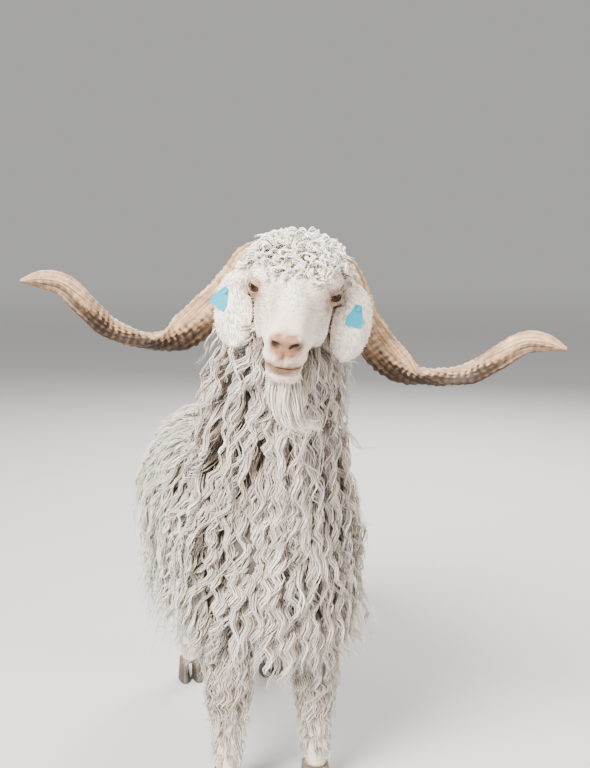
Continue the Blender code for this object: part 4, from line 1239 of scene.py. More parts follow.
class Coat:
    """Gathers the strands of one coat piece before they become a mesh."""

    def __init__(self, name):
        self.name = name
        self.points = []
        self.colors = []
        self.faces = []
        self.strand_uv = []
        self.bake_uv = []
        self.count = 0

    def add_strand(self, spine, side, out, wide, thick, colors, length, root):
        """Add one tapered three-sided strand that ends in a point."""
        steps = len(spine)
        rings = np.stack((spine + side * wide[:, None],
                          spine + out * thick[:, None],
                          spine - side * wide[:, None]), axis=1)
        self.points.append(rings.reshape(-1, 3))
        self.colors.append(np.repeat(colors, 3, axis=0))
        rows = np.arange(steps - 1)[:, None] * 3
        corner = np.arange(3)[None, :]
        beside = (corner + 1) % 3
        quads = np.stack((rows + corner, rows + beside, rows + 3 + beside, rows + 3 + corner),
                         axis=2).reshape(-1, 4) + self.count
        self.faces.append(quads)
        along = np.linspace(0, 1, steps)
        first = np.array(np.broadcast_to(np.stack((corner / 3, (corner + 1) / 3,
                         (corner + 1) / 3, corner / 3), axis=2), (steps - 1, 3, 4)))
        second = np.stack((along[:-1], along[:-1], along[1:], along[1:]), axis=1)
        second = np.broadcast_to(second[:, None, :], (steps - 1, 3, 4))
        shift = root[0] * 37.0 + root[1] * 91.0
        self.strand_uv.append(np.stack((first + shift, second * length * 30 + shift),
                                       axis=3).reshape(-1, 2))
        self.bake_uv.append(np.stack((root[0] + (first - 0.5) * 0.003,
                                      root[1] + (second - 0.5) * 0.003),
                                     axis=3).reshape(-1, 2))
        self.count += steps * 3

    def build(self, material):
        """Make the coat piece's mesh with its colours and both UV maps."""
        points = np.concatenate(self.points)
        faces = np.concatenate(self.faces)
        mesh = bpy.data.meshes.new(self.name)
        mesh.vertices.add(len(points))
        mesh.vertices.foreach_set("co", points.ravel())
        mesh.loops.add(len(faces) * 4)
        mesh.loops.foreach_set("vertex_index", faces.ravel().astype(np.int32))
        mesh.polygons.add(len(faces))
        mesh.polygons.foreach_set("loop_start", np.arange(0, len(faces) * 4, 4, dtype=np.int32))
        mesh.update(calc_edges=True)
        mesh.validate()
        for label, rows in (("Strand", self.strand_uv), ("OFBake", self.bake_uv)):
            layer = mesh.uv_layers.new(name=label)
            layer.data.foreach_set("uv", np.concatenate(rows).astype(np.float32).ravel())
        thing = bpy.data.objects.new(self.name, mesh)
        bpy.context.scene.collection.objects.link(thing)
        paint_points(thing, np.concatenate(self.colors))
        return finish_piece(thing, material)


def unit(rows):
    """Rows of an array scaled to length one."""
    return rows / np.maximum(np.linalg.norm(rows, axis=1)[:, None], 1e-9)


def add_lock(coat, path, facing, look, root, draw):
    """One wavy lock: strands side by side that swing together and meet at the tip."""
    path = np.array(path)
    facing = np.array(facing)
    ahead = unit(np.gradient(path, axis=0))
    side = unit(np.cross(ahead, facing))
    out = np.cross(side, ahead)
    pace = np.linalg.norm(np.diff(path, axis=0), axis=1)
    travel = np.concatenate(((0.0,), np.cumsum(pace)))
    share = travel / travel[-1]
    bend = draw.gauss(0, look["bend"]) * travel[-1]
    hook = draw.gauss(0, look["hook"]) * travel[-1]
    path = path + side * (bend * share ** 1.5 + hook * share ** 4)[:, None]
    path = path + out * (abs(hook) * 0.6 * share ** 3)[:, None]
    phase = draw.uniform(0, 2 * math.pi)
    length = look["wavelength"] * draw.uniform(0.70, 1.35)
    swing = look["wave"] * np.minimum(0.25 + 1.6 * share, 1.0) * draw.uniform(0.6, 1.3)
    swing = swing * (1 + 0.3 * np.sin(9 * share + draw.uniform(0, 6.28)))
    tone = 1 + draw.gauss(0, 0.09)
    warmth = min(max(draw.gauss(look["stain_share"], 0.12), 0.0), 1.0)
    base = np.array(look["color"]) * (1 - warmth) + np.array(look["stain"]) * warmth
    count = look["strands"]
    for strand in range(count):
        place = (strand + 0.5) / count * 2 - 1
        gather = 1 - 0.80 * share ** 1.6
        slip = draw.gauss(0, 0.32)
        finish = draw.uniform(0.78, 1.02)
        turn = 2 * math.pi * travel / (length * draw.uniform(0.93, 1.07)) + phase + slip
        reach = look["width"] * place * gather + draw.gauss(0, 0.0008)
        sway = np.sin(turn) * swing
        depth = np.cos(turn) * swing * 0.55 + draw.gauss(0, 0.0012) - abs(place) * 0.0035
        spine = path + side * (reach + sway)[:, None] + out * depth[:, None]
        end = 1 - np.clip((share - 0.45) / (finish - 0.45), 0, 1) ** 1.6
        wide = look["strand"] * draw.uniform(0.55, 1.35) * (0.55 + 0.45 * share) * end + 0.0002
        thick = wide * look["flatness"]
        # Painted shade: darkest at the root and toward the edges of the lock
        light = np.clip(share * look["root_shade_fade"], 0, 1)[:, None] ** 0.8
        light = light * (1 - look["hollow"] * abs(place) ** 1.5)
        # Painted highlight where a strand swings outward on its wave
        lit = np.cos(turn)[:, None] * 0.06
        shade = np.array(look["shade"])
        colors = (shade * (1 - light) + base * light) * (tone + draw.gauss(0, 0.09) + lit)
        coat.add_strand(spine, side, out, wide, thick, np.clip(colors, 0, 1), travel[-1], root)


def lock_look(kind, **changes):
    """Sizes and colours that the locks of one region share."""
    settings = bpy.context.scene.goat_coat
    look = {
        "wave": settings.wave, "wavelength": settings.wavelength,
        "strands": settings.strands, "color": settings.fleece, "shade": settings.shade,
        "stain": settings.stain, **PLAIN_LOCK, **LOCK_KINDS[kind], **changes,
    }
    look["color"] = [min(part * look["gain"], 1.0) for part in look["color"]]
    return look


def rise_of_lock(share, root, tip):
    """Height of a lock over the skin, from its root to the coat's outside."""
    return root + (tip - root) * smooth_step(share / 0.4)


def neck_guide(first, turn, length, lift_share, steps, drift):
    """A lock's path down the neck from one root."""
    path = []
    facing = []
    for part in shares(steps):
        share = first + part * length / NECK_LENGTH
        center, axis, front, half_width, half_depth = neck_frame(min(share, 1.0))
        center = center + axis * max(share - 1.0, 0.0) * NECK_LENGTH
        angle = math.remainder(turn, 2 * math.pi) + drift * part
        out = Vector((math.sin(angle) / half_width, 0, 0))
        out = (out + front * math.cos(angle) / half_depth).normalized()
        coat = neck_coat(min(share, 1.0))
        lift = rise_of_lock(part, 0.002, coat * lift_share - 0.006)
        spot = center + Vector((math.sin(angle) * half_width, 0, 0))
        spot += front * math.cos(angle) * half_depth + out * lift
        path.append(spot)
        facing.append(out)
    return path, facing


def torso_guide(back, degrees, length, side, lift_share, steps, drift):
    """A lock's path down the side of the torso, hanging free below it."""
    path = []
    facing = []
    hang = math.radians(HANG_FROM)
    start = math.radians(degrees)
    for part in shares(steps):
        angle = start + part * length / TORSO_HALF_HEIGHT
        free = max(angle - max(hang, start), 0.0) * TORSO_HALF_HEIGHT
        angle = min(angle, max(hang, start))
        coat = coat_depth(angle)
        lift = rise_of_lock(part, 0.002, coat * lift_share - 0.006)
        spot, out = torso_skin(min(back + drift * part, 0.590), angle, lift)
        spot += Vector((free * 0.12, 0.0, -free))
        out = Vector((out.x, 0.0, max(out.z, 0.0))).normalized()
        path.append(mirrored(spot, side))
        facing.append(mirrored(out, side))
    return path, facing


def chest_guide(across, height, length, lift_share, steps):
    """A lock's path down the front of the chest."""
    path = []
    out = Vector((across * 6, -1.0, 0.1)).normalized()
    for part in shares(steps):
        back = -0.232 + 4.0 * across ** 2 - rise_of_lock(part, 0.0, 0.062 * lift_share - 0.010)
        path.append(Vector((across * (1 + 0.10 * part), back + 0.030 * part,
                            height - length * part)))
    return path, [out] * steps


def rump_guide(across, height, length, lift_share, steps):
    """A lock's path down the back of the thighs."""
    path = []
    out = Vector((across * 5, 1.0, 0.25)).normalized()
    for part in shares(steps):
        back = 0.585 - 4.2 * across ** 2 - 0.35 * max(0.60 - height, 0)
        lift = rise_of_lock(part, 0.0, 0.058 * lift_share) - 0.035 * max(part - 0.5, 0)
        path.append(Vector((across * (1 + 0.15 * part), back + lift, height - length * part)))
    return path, [out] * steps


def leg_guide(stations, side, first, turn, length, lift_top, steps):
    """A lock's path down one leg."""
    path = []
    facing = []
    reach = stations[0][3] - stations[-1][3]
    out = Vector((math.cos(turn), math.sin(turn), 0.0))
    for part in shares(steps):
        share = min(first + part * length / reach, 1.0)
        across, back, up, half_width, half_depth = read_table(stations, share)
        lift = rise_of_lock(part, -LEG_WOOL, lift_top)
        spot = Vector((across * side, back, up)) + out * lift
        spot += Vector((out.x * half_width, out.y * half_depth, 0.0))
        path.append(spot)
        facing.append(out)
    return path, facing


def tail_guide(share, turn, length, steps):
    """A lock's path from the tail outward and down."""
    back, up = read_table(TAIL_STATIONS, share)[:2]
    out = Vector((math.sin(turn), 0.35 + 0.65 * math.cos(turn) ** 2, 0.12)).normalized()
    path = []
    for part in shares(steps):
        lift = rise_of_lock(part, 0.0, 0.024)
        fall = length * part
        path.append(Vector((0.0, back, up)) + out * lift + Vector((0.0, 0.006 * part, -fall)))
    return path, [out] * steps


class GOAT_OT_skin(bpy.types.Operator):
    """Build the one skin of the goat with its lids, lips, nostrils and ears"""

    bl_idname = "goat.skin"
    bl_label = "Skin"

    def execute(self, context):
        """Build the skin and the rims of the lids."""
        build_skin()
        build_lid_rims()
        return {"FINISHED"}


class GOAT_OT_neck_fleece(bpy.types.Operator):
    """Hang long wavy locks round the neck and down the chest"""

    bl_idname = "goat.neck_fleece"
    bl_label = "Neck fleece"

    def execute(self, context):
        """Build the locks of the neck and the chest."""
        draw = random.Random(21)
        for side, word in SIDES:
            coat = Coat("fleece_neck_" + word)
            self.mane(coat, draw, side)
            self.ruff(coat, draw, side)
            coat.build(fleece_material())
        coat = Coat("fleece_chest")
        self.chest(coat, draw)
        coat.build(fleece_material())
        return {"FINISHED"}

    def mane(self, coat, draw, side):
        """Add rows of locks down one side of the neck, longer away from the head."""
        look = lock_look("neck")
        spacing = bpy.context.scene.goat_coat.spacing
        for row in range(int(NECK_LENGTH * 0.93 / spacing)):
            first = 0.035 + (row + draw.uniform(-0.3, 0.3)) * spacing / NECK_LENGTH
            first = min(max(first, 0.02), 0.98)
            values = neck_frame(first)
            around = math.pi * (values[3] + values[4]) / 2
            columns = max(int(around / spacing * 0.92), 5)
            for column in range(-1, columns):
                turn = math.pi * (column + 0.5 + draw.uniform(-0.4, 0.4)) / columns * side
                growth = smooth_step(first / 0.30)
                length = NECK_LOCK_AT_HEAD + (look["length"] - NECK_LOCK_AT_HEAD) * growth
                length *= draw.uniform(0.8, 1.15)
                lift = draw.uniform(0.55, 1.0)
                path, facing = neck_guide(first, turn, length, lift, 15, draw.gauss(0, 0.10))
                root = (0.02 + 0.30 * (turn / math.pi * 0.5 + 0.5), 0.02 + 0.90 * first)
                add_lock(coat, path, facing, look, root, draw)

    def ruff(self, coat, draw, side):
        """Add the locks behind the cheek and under the jaw, where the neck takes over."""
        look = lock_look("ruff")
        for number in range(RUFF_LOCKS):
            if number % 2:
                spot = Vector((side * draw.uniform(0.046, 0.078), draw.uniform(0.035, 0.075),
                               draw.uniform(-0.095, 0.012)))
                flow = Vector((side * 0.28, 0.10, -1.0))
            else:
                spot = Vector((side * draw.uniform(0.0, 0.052), draw.uniform(-0.060, 0.040),
                               draw.uniform(-0.098, -0.080)))
                flow = Vector((side * 0.16, 0.10, -1.0))
            length = look["length"] * draw.uniform(0.8, 1.2)
            start = head_place() @ spot
            path = [start + flow * length * part for part in shares(13)]
            root = (0.02 + 0.30 * (0.5 + side * number / 200), 0.93 + 0.0004 * number)
            add_lock(coat, path, [Vector((side * 0.8, -0.6, 0.1))] * 13, look, root, draw)

    def chest(self, coat, draw):
        """Add an inner and an outer lock at each root on the front of the chest."""
        layers = ((0.25, 0.45, lock_look("chest", strands=5)), (0.65, 1.05, lock_look("chest")))
        for row in range(CHEST_ROWS):
            height = CHEST_TOP - CHEST_GAP * row
            for column in range(CHEST_COLUMNS):
                across = (column - (CHEST_COLUMNS - 1) / 2 + draw.uniform(-0.4, 0.4))
                across *= CHEST_GAP
                factor = draw.uniform(0.8, 1.15)
                root = (0.34 + 0.10 * (column + 0.5) / CHEST_COLUMNS,
                        0.02 + 0.25 * row / CHEST_ROWS)
                for low, high, look in layers:
                    path, facing = chest_guide(across, height + draw.uniform(-0.01, 0.01),
                                               look["length"] * factor,
                                               draw.uniform(low, high), 15)
                    add_lock(coat, path, facing, look, root, draw)


class GOAT_OT_body_fleece(bpy.types.Operator):
    """Hang wavy locks from the spine down both sides, the belly and the rump"""

    bl_idname = "goat.body_fleece"
    bl_label = "Body fleece"

    def execute(self, context):
        """Build the locks of the torso."""
        draw = random.Random(22)
        for side, word in SIDES:
            for half, label in enumerate(("fore", "hind")):
                coat = Coat("fleece_side_" + label + "_" + word)
                self.flank(coat, draw, side, half)
                coat.build(fleece_material())
        coat = Coat("fleece_rump")
        self.spine(coat, draw)
        self.rump(coat, draw)
        self.tail(coat, draw)
        coat.build(fleece_material())
        return {"FINISHED"}

    def flank(self, coat, draw, side, half):
        """Add rows of locks down one half of a side, from the spine to the belly."""
        look = lock_look("side")
        spacing = bpy.context.scene.goat_coat.spacing
        columns = int(FLEECE_REACH / spacing)
        turn_step = math.degrees(spacing / TORSO_HALF_HEIGHT)
        rows = int(FLEECE_LOWEST / turn_step)
        middle = columns // 2
        for column in range(middle) if half == 0 else range(middle, columns):
            for row in range(rows):
                back = -0.225 + (column + 0.5 * (row % 2)) * spacing
                back += draw.uniform(-0.3, 0.3) * spacing
                degrees = 1 + row * turn_step + draw.uniform(-0.35, 0.35) * turn_step
                belly = smooth_step((degrees - BELLY_FROM) / 20)
                length = (look["length"] - 0.060 * belly) * draw.uniform(0.8, 1.15)
                if back < -0.195 or (back < -0.06 and degrees < 60):
                    continue
                path, facing = torso_guide(back, max(degrees, 1), length, side,
                                           draw.uniform(0.6, 1.0), 13, draw.gauss(0.02, 0.02))
                root = (0.46 + 0.50 * (degrees * side / 340 + 0.5),
                        0.02 + 0.94 * (back + 0.25) / 0.9)
                add_lock(coat, path, facing, look, root, draw)

    def spine(self, coat, draw):
        """Lay locks back along the spine so that no parting shows."""
        look = lock_look("side", strands=5)
        for number in range(SPINE_LOCKS):
            back = draw.uniform(-0.11, 0.57)
            side = 1 - 2 * (number % 2)
            fall, drift = SPINE_FALLS[number // 2 % 2]
            path, facing = torso_guide(back, draw.uniform(0.0, 6.0), fall, side,
                                       draw.uniform(0.5, 1.0), 11, drift + draw.gauss(0, 0.01))
            root = (0.46 + 0.50 * (0.5 + 0.01 * side), 0.02 + 0.94 * (back + 0.25) / 0.9)
            add_lock(coat, path, facing, look, root, draw)

    def rump(self, coat, draw):
        """Add rows of locks down the back of the thighs."""
        look = lock_look("rump")
        for row in range(RUMP_ROWS):
            height = RUMP_TOP - RUMP_ROW_GAP * row
            for column in range(RUMP_COLUMNS):
                across = (column - (RUMP_COLUMNS - 1) / 2 + draw.uniform(-0.4, 0.4))
                across *= RUMP_COLUMN_GAP
                length = look["length"] * draw.uniform(0.8, 1.1)
                path, facing = rump_guide(across, height + draw.uniform(-0.01, 0.01), length,
                                          draw.uniform(0.6, 1.0), 13)
                root = (0.34 + 0.10 * (column + 0.5) / RUMP_COLUMNS,
                        0.30 + 0.25 * row / RUMP_ROWS)
                add_lock(coat, path, facing, look, root, draw)

    def tail(self, coat, draw):
        """Add the locks that hang from the tail."""
        look = lock_look("tail")
        for number in range(TAIL_LOCKS):
            turn = draw.uniform(-1.5, 1.5)
            path, facing = tail_guide(draw.uniform(0.15, 0.98), turn,
                                      look["length"] * draw.uniform(0.8, 1.15), 12)
            root = (0.34 + 0.10 * (turn + 1.6) / 3.2, 0.58 + 0.06 * number / TAIL_LOCKS)
            add_lock(coat, path, facing, look, root, draw)


class GOAT_OT_leg_fleece(bpy.types.Operator):
    """Cover the legs with locks that get shorter toward the hooves"""

    bl_idname = "goat.leg_fleece"
    bl_label = "Leg fleece"

    def execute(self, context):
        """Build the locks of the four legs."""
        draw = random.Random(23)
        for stations, limb in LEGS:
            for side, word in SIDES:
                coat = Coat("fleece_" + limb + "leg_" + word)
                self.stocking(coat, draw, stations, side, limb == "hind")
                coat.build(fleece_material())
        return {"FINISHED"}

    def stocking(self, coat, draw, stations, side, hind):
        """Add rings of locks round one leg."""
        reach = stations[0][3] - stations[-1][3]
        for row in range(LEG_ROWS):
            first = 0.02 + 0.92 * row / LEG_ROWS
            values = read_table(stations, first)
            low = smooth_step((first - 0.45) / 0.35)
            look = lock_look("leg", width=0.012 - 0.004 * low, strand=0.0026 - 0.0008 * low,
                             wave=0.006 - 0.004 * low)
            columns = int(math.pi * (values[3] + values[4]) / 0.022)
            for column in range(columns):
                turn = 2 * math.pi * (column + draw.uniform(0, 0.9)) / columns
                length = look["length"] * (1 - low) + FOOT_LOCK * low
                length = min(length * draw.uniform(0.8, 1.15), (1.0 - first) * reach + 0.012)
                lift = (0.012 * (1 - low) + 0.004 * low) * draw.uniform(0.5, 1.1)
                path, facing = leg_guide(stations, side, first, turn, length, lift,
                                         11 if low < 0.5 else 8)
                root = (0.34 + 0.10 * (turn / 6.3) * 0.5 + (side > 0) * 0.05,
                        0.66 + 0.15 * first + 0.16 * hind)
                add_lock(coat, path, facing, look, root, draw)


def springing_path(start, axis, length, droop, steps):
    """A path that springs out along an axis and droops under its weight."""
    path = []
    for part in shares(steps):
        fall = Vector((0.0, 0.0, -length * droop * part ** 2))
        path.append(start + axis * length * part * (1 - 0.25 * part) + fall)
    return path


class GOAT_OT_topknot(bpy.types.Operator):
    """Set tight curls over the crown and forehead and round the horn roots"""

    bl_idname = "goat.topknot"
    bl_label = "Topknot"

    def execute(self, context):
        """Build the curls of the topknot and the wisps of the ears."""
        draw = random.Random(24)
        coat = Coat("topknot")
        for layer, lift in TOPKNOT_LAYERS:
            self.curls(coat, draw, layer, lift)
        self.ear_wisps(coat, draw)
        coat.build(curl_material())
        return {"FINISHED"}

    def curls(self, coat, draw, layer, lift):
        """Add one layer of curls, with fewer rows the higher it lies."""
        place = head_place()
        turn_only = place.to_3x3()
        eyes = [place @ mirrored(EYE_CENTER + EYE_AIM * 0.015, side) for side in (-1, 1)]
        look = lock_look("topknot")
        count = TOPKNOT_ROWS - layer
        for row in range(count):
            for column in range(count):
                side = (column + 0.5 * (row % 2) + draw.uniform(-0.3, 0.3)) / count
                side = min(max(side * 2 - 1, -1), 1)
                across = side * (0.090 - 0.006 * layer)
                back = -0.026 + 0.006 * layer + row * 0.0130 + draw.uniform(-0.005, 0.005)
                back += 0.014 * side ** 2 - 0.010 * smooth_step(side * 2)
                top = read_table(HEAD_STATIONS, min(back, 0.104))[0]
                ends = 0.6 + 0.4 * math.sin(math.pi * min(max((back + 0.05) / 0.17, 0), 1))
                height = top + lift * ends - 0.032 * abs(side) ** 2.4
                spot = Vector((across, back, height + draw.uniform(-0.004, 0.004)))
                axis = Vector((side * 1.1 + draw.gauss(0, 0.55), -0.55 + draw.gauss(0, 0.55),
                               0.65 + draw.gauss(0, 0.4))).normalized()
                axis = turn_only @ axis
                length = look["length"] * draw.uniform(0.7, 1.1) * (1 - 0.20 * side ** 2)
                path = springing_path(place @ spot, axis, length, 0.60, 11)
                if min((point - eye).length for point in path for eye in eyes) < EYE_CLEARANCE:
                    continue
                out = (axis + Vector((0.0, -0.3, 0.8))).normalized()
                root = (0.02 + 0.10 * (side * 0.5 + 0.5), 0.955 + 0.03 * row / count)
                add_lock(coat, path, [out] * 11, look, root, draw)

    def ear_wisps(self, coat, draw):
        """Add the long white hairs that fly from the roots of the ears."""
        place = level_head_place()
        turn_only = place.to_3x3()
        look = lock_look("wisp")
        for side in (-1, 1):
            for number in range(EAR_WISPS):
                center, across, out, half = ear_frame(draw.uniform(0.00, 0.14), side)[:4]
                start = center + across * half * draw.uniform(-0.8, 0.8) - out * 0.001
                flow = Vector((side * draw.uniform(0.5, 1.0), draw.uniform(0.2, 0.6),
                               draw.uniform(-0.3, 0.2)))
                length = look["length"] + draw.uniform(-0.010, 0.010)
                length *= 1.1 - 0.25 * side
                path = []
                for part in shares(9):
                    spot = start + flow * length * part + Vector((0, 0, -length * part ** 2))
                    path.append(place @ spot)
                root = (0.14 + 0.04 * number / EAR_WISPS, 0.955 + 0.015 * (side > 0))
                add_lock(coat, path, [turn_only @ out] * 9, look, root, draw)


class GOAT_OT_beard(bpy.types.Operator):
    """Hang fine wavy locks from the chin and the jaw"""

    bl_idname = "goat.beard"
    bl_label = "Beard"

    def execute(self, context):
        """Build the locks of the beard, which hang down and curl aside at their tips."""
        draw = random.Random(25)
        place = head_place()
        turn_only = level_head_place().to_3x3()
        down = Vector((0.0, 0.10, -1.0)).normalized()
        look = lock_look("beard")
        coat = Coat("beard")
        for _ in range(BEARD_LOCKS):
            turn = draw.uniform(0, 2 * math.pi)
            reach = math.sqrt(draw.random())
            start = place @ Vector((0.021 * math.sin(turn) * reach,
                                    -0.134 - 0.028 * math.cos(turn) * reach, -0.072))
            out = (turn_only @ Vector((math.sin(turn), -math.cos(turn), 0))).normalized()
            length = look["length"] * draw.uniform(0.75, 1.10) * (1 - 0.22 * reach)
            path = []
            for part in shares(16):
                spread = 0.008 * math.sin(part * math.pi * 0.8) * reach
                curl = min((length * part / 0.120) ** 5, 1.7)
                bend = Vector((0.032 * curl, -0.012 * part, 0.014 * curl))
                path.append(start + down * length * part + out * spread + bend)
            add_lock(coat, path, [out] * 16, look, (0.15 + 0.05 * reach, 0.985), draw)
        coat.build(fleece_material())
        return {"FINISHED"}


def tuft_roots(skin, keep, count, seed):
    """Random places all over the skin's triangles, with their normals."""
    mesh = skin.data
    mesh.calc_loop_triangles()
    triangles = mesh.loop_triangles
    corners = (points_of(skin) - np.array(SHIFT))[read_values(triangles, "vertices", 3, np.int32)]
    weights = read_values(triangles, "area", 1)[:, 0] * keep(corners.mean(axis=1))
    generator = np.random.default_rng(seed)
    chosen = generator.choice(len(triangles), count, p=weights / weights.sum())
    mix = generator.random((count, 2, 1))
    root = np.sqrt(mix[:, 0])
    corners = corners[chosen]
    places = (corners[:, 0] * (1 - root) + corners[:, 1] * (root * (1 - mix[:, 1]))
              + corners[:, 2] * (root * mix[:, 1]))
    return places, read_values(triangles, "normal", 3)[chosen], generator


def add_tufts(coat, roots, normals, lie, lengths, widths, lift, colors, generator):
    """Short flat tufts that lean along the lie of the hair."""
    lie = lie + generator.normal(0, 0.18, lie.shape)
    lie = unit(lie - normals * (lie * normals).sum(axis=1)[:, None])
    side = np.cross(lie, normals)
    for index in range(len(roots)):
        share = np.array((0.0, 0.5, 1.0))
        height = (share * lift[index] - 0.0006)[:, None]
        spine = (roots[index] + lie[index] * (share * lengths[index])[:, None]
                 + normals[index] * height)
        wide = widths[index] * np.array((0.8, 1.0, 0.12))
        tone = 1 + generator.normal(0, 0.065)
        tint = np.clip(np.tile(colors[index] * tone, (3, 1)), 0, 1)
        spot = roots[index]
        root = (0.02 + 0.3 * (math.atan2(spot[0], -spot[1]) / 6.3 + 0.5),
                0.02 + 0.9 * min(max(spot[2], 0), 1.2) / 1.2)
        coat.add_strand(spine, np.tile(side[index], (3, 1)), np.tile(normals[index], (3, 1)),
                        wide, wide * 0.6, tint, lengths[index], root)


def face_keep(points):
    """Where the face and the ears carry short tufts."""
    local = head_points(points)
    front = (local[:, 1] < 0.075) & (local[:, 1] > -0.179)
    nose = blob(local, (0.0, -0.190, -0.022), (0.026, 0.016, 0.022)) < 0.35
    clear = np.ones(len(points), dtype=bool)
    for side in (-1, 1):
        away = local - np.array(mirrored(EYE_CENTER, side))
        clear &= (away ** 2).sum(axis=1) > (LID_RADIUS + 0.0008) ** 2
    head = front & nose & clear & (points[:, 2] > 0.93)
    keep = np.maximum(head.astype(float), ear_mask(points) * 1.4)
    for side in (-1, 1):
        face, _, down, out = tag_frame(side)
        middle = level_head_place() @ (face + down * TAG_HEIGHT * 0.35)
        away = points - np.array(middle)
        outward = away @ np.array(level_head_place().to_3x3() @ out)
        keep[((away ** 2).sum(axis=1) < (TAG_HEIGHT * 0.66) ** 2) & (outward > -0.004)] = 0
    return keep


class GOAT_OT_short_hair(bpy.types.Operator):
    """Lay short tufts along the face and the ears"""

    bl_idname = "goat.short_hair"
    bl_label = "Short hair"

    def execute(self, context):
        """Build the short tufts."""
        skin = bpy.data.objects["skin"]
        roots, normals, generator = tuft_roots(skin, face_keep, FACE_TUFTS, 31)
        local = head_points(roots)
        turn_only = np.array(head_place().to_3x3())
        flow = np.stack((local[:, 0] * 6.0, np.full(len(roots), 1.0),
                         -0.25 - 0.5 * np.clip(np.abs(local[:, 0]) * 12, 0, 1)), axis=1)
        flow = flow @ turn_only.T
        ears = ear_mask(roots)
        jaw = blob(local, (0.0, -0.150, -0.082), (0.045, 0.048, 0.020))
        hanging = np.array((0.0, 0.0, -1.0))
        flow = blend(blend(flow, hanging, ears), hanging, jaw)
        far = np.clip((local[:, 1] + 0.18) / 0.12, 0, 1)
        lengths = 0.0036 + 0.0052 * far - 0.001 * ears + 0.015 * jaw
        widths = 0.00065 + 0.00040 * far
        lift = lengths * (0.10 + 0.08 * generator.random(len(roots)))
        coat = Coat("face_hair")
        add_tufts(coat, roots, normals, flow, lengths, widths, lift,
                  face_markings(local), generator)
        coat.build(short_hair_material())
        return {"FINISHED"}


def horn_ring_values(share, side):
    """Centre, axis, broad and narrow directions and half sizes of a horn section."""
    values = read_table(HORN_STATIONS, share)
    center = Vector(values[:3])
    center.z += HORN_SWAY[side] * math.sin(math.pi * min(share / 0.62, 1.0)) ** 2
    ahead = Vector(read_table(HORN_STATIONS, min(share + 0.01, 1.0))[:3])
    behind = Vector(read_table(HORN_STATIONS, max(share - 0.01, 0.0))[:3])
    axis = (ahead - behind).normalized()
    flat = axis.cross(Vector((0.0, -1.0, 0.0))).normalized()
    turn = Matrix.Rotation(math.radians(values[5]), 3, axis)
    return center, turn @ flat, turn @ flat.cross(axis), values[3] / 2, values[4] / 2


def horn_relief(share, angle, draw_phases):
    """Height of growth rings, furrows and flakes on a horn."""
    fade = 1 - 0.65 * smooth_step((share - 0.55) / 0.45)
    wobble = 0.35 * math.sin(angle * 2 + share * 9) + 0.20 * math.sin(angle * 3 - share * 23)
    ring_turn = HORN_RIDGES * 2 * math.pi * share ** 0.92 + wobble * 1.5
    ring = (0.5 + 0.5 * math.sin(ring_turn)) ** 1.7
    big = (0.5 + 0.5 * math.sin(ring_turn / 4.3 + draw_phases[0])) ** 3
    furrow = math.sin(angle * 11 + share * 14 + draw_phases[1])
    furrow += 0.6 * math.sin(angle * 19 - share * 9 + draw_phases[2])
    crease = -1.6 * math.exp(-((math.remainder(angle - 1.1, 2 * math.pi)) / 0.16) ** 2)
    rough = math.sin(share * 310 + angle * 5) * math.sin(share * 97 - angle * 3)
    height = ring * 1.0 + big * 1.1 + furrow * 0.16 + crease * 0.9 + rough * 0.18
    return height * HORN_RIDGE_HEIGHT * fade


def horn_flakes(share, under):
    """How deep worn flakes cut into the lower side of the first bend."""
    flakes = max(under - 0.5, 0) * smooth_step((share - 0.22) / 0.06)
    flakes *= 0.5 + 0.5 * math.sin(share * 230 + 2 * math.sin(share * 71))
    return flakes * smooth_step((0.62 - share) / 0.1)


def horn_shade_and_darkness(share, angle, under):
    """How dark a horn is: painted shade on its lower side, with a speckled edge, and its darker
    root, grooves and long streaks.
    """
    spread = 0.50 * math.exp(-((share - 0.62) / 0.13) ** 2)
    strength = 0.50 + 0.45 * smooth_step((share - 0.36) / 0.14)
    strength *= 1 - 0.50 * smooth_step((share - 0.76) / 0.14)
    bands = 0.5 + 0.5 * math.sin(HORN_RIDGES * 2 * math.pi * share ** 0.92
                                 + 0.5 * math.sin(angle * 2 + share * 9))
    speckle = math.sin(share * 210 + angle * 9) * math.sin(share * 83 - angle * 13)
    speckle = 0.30 * speckle + 0.12 * math.sin(share * 43)
    # Painted shade on the lower side, strongest past the first bend
    dark = smooth_step((under + spread + speckle) / 0.40)
    dark *= smooth_step((share - 0.12) / 0.15) * strength
    dark += 0.13 * (1 - bands)
    dark += 0.15 * smooth_step((0.24 - share) / 0.2)
    dark += 0.16 * math.sin(angle * 7 + share * 9) * math.sin(share * 31 + angle)
    dark += 0.13 * math.sin(angle * 13 - share * 5)
    return min(max(dark, 0.0), 0.97)


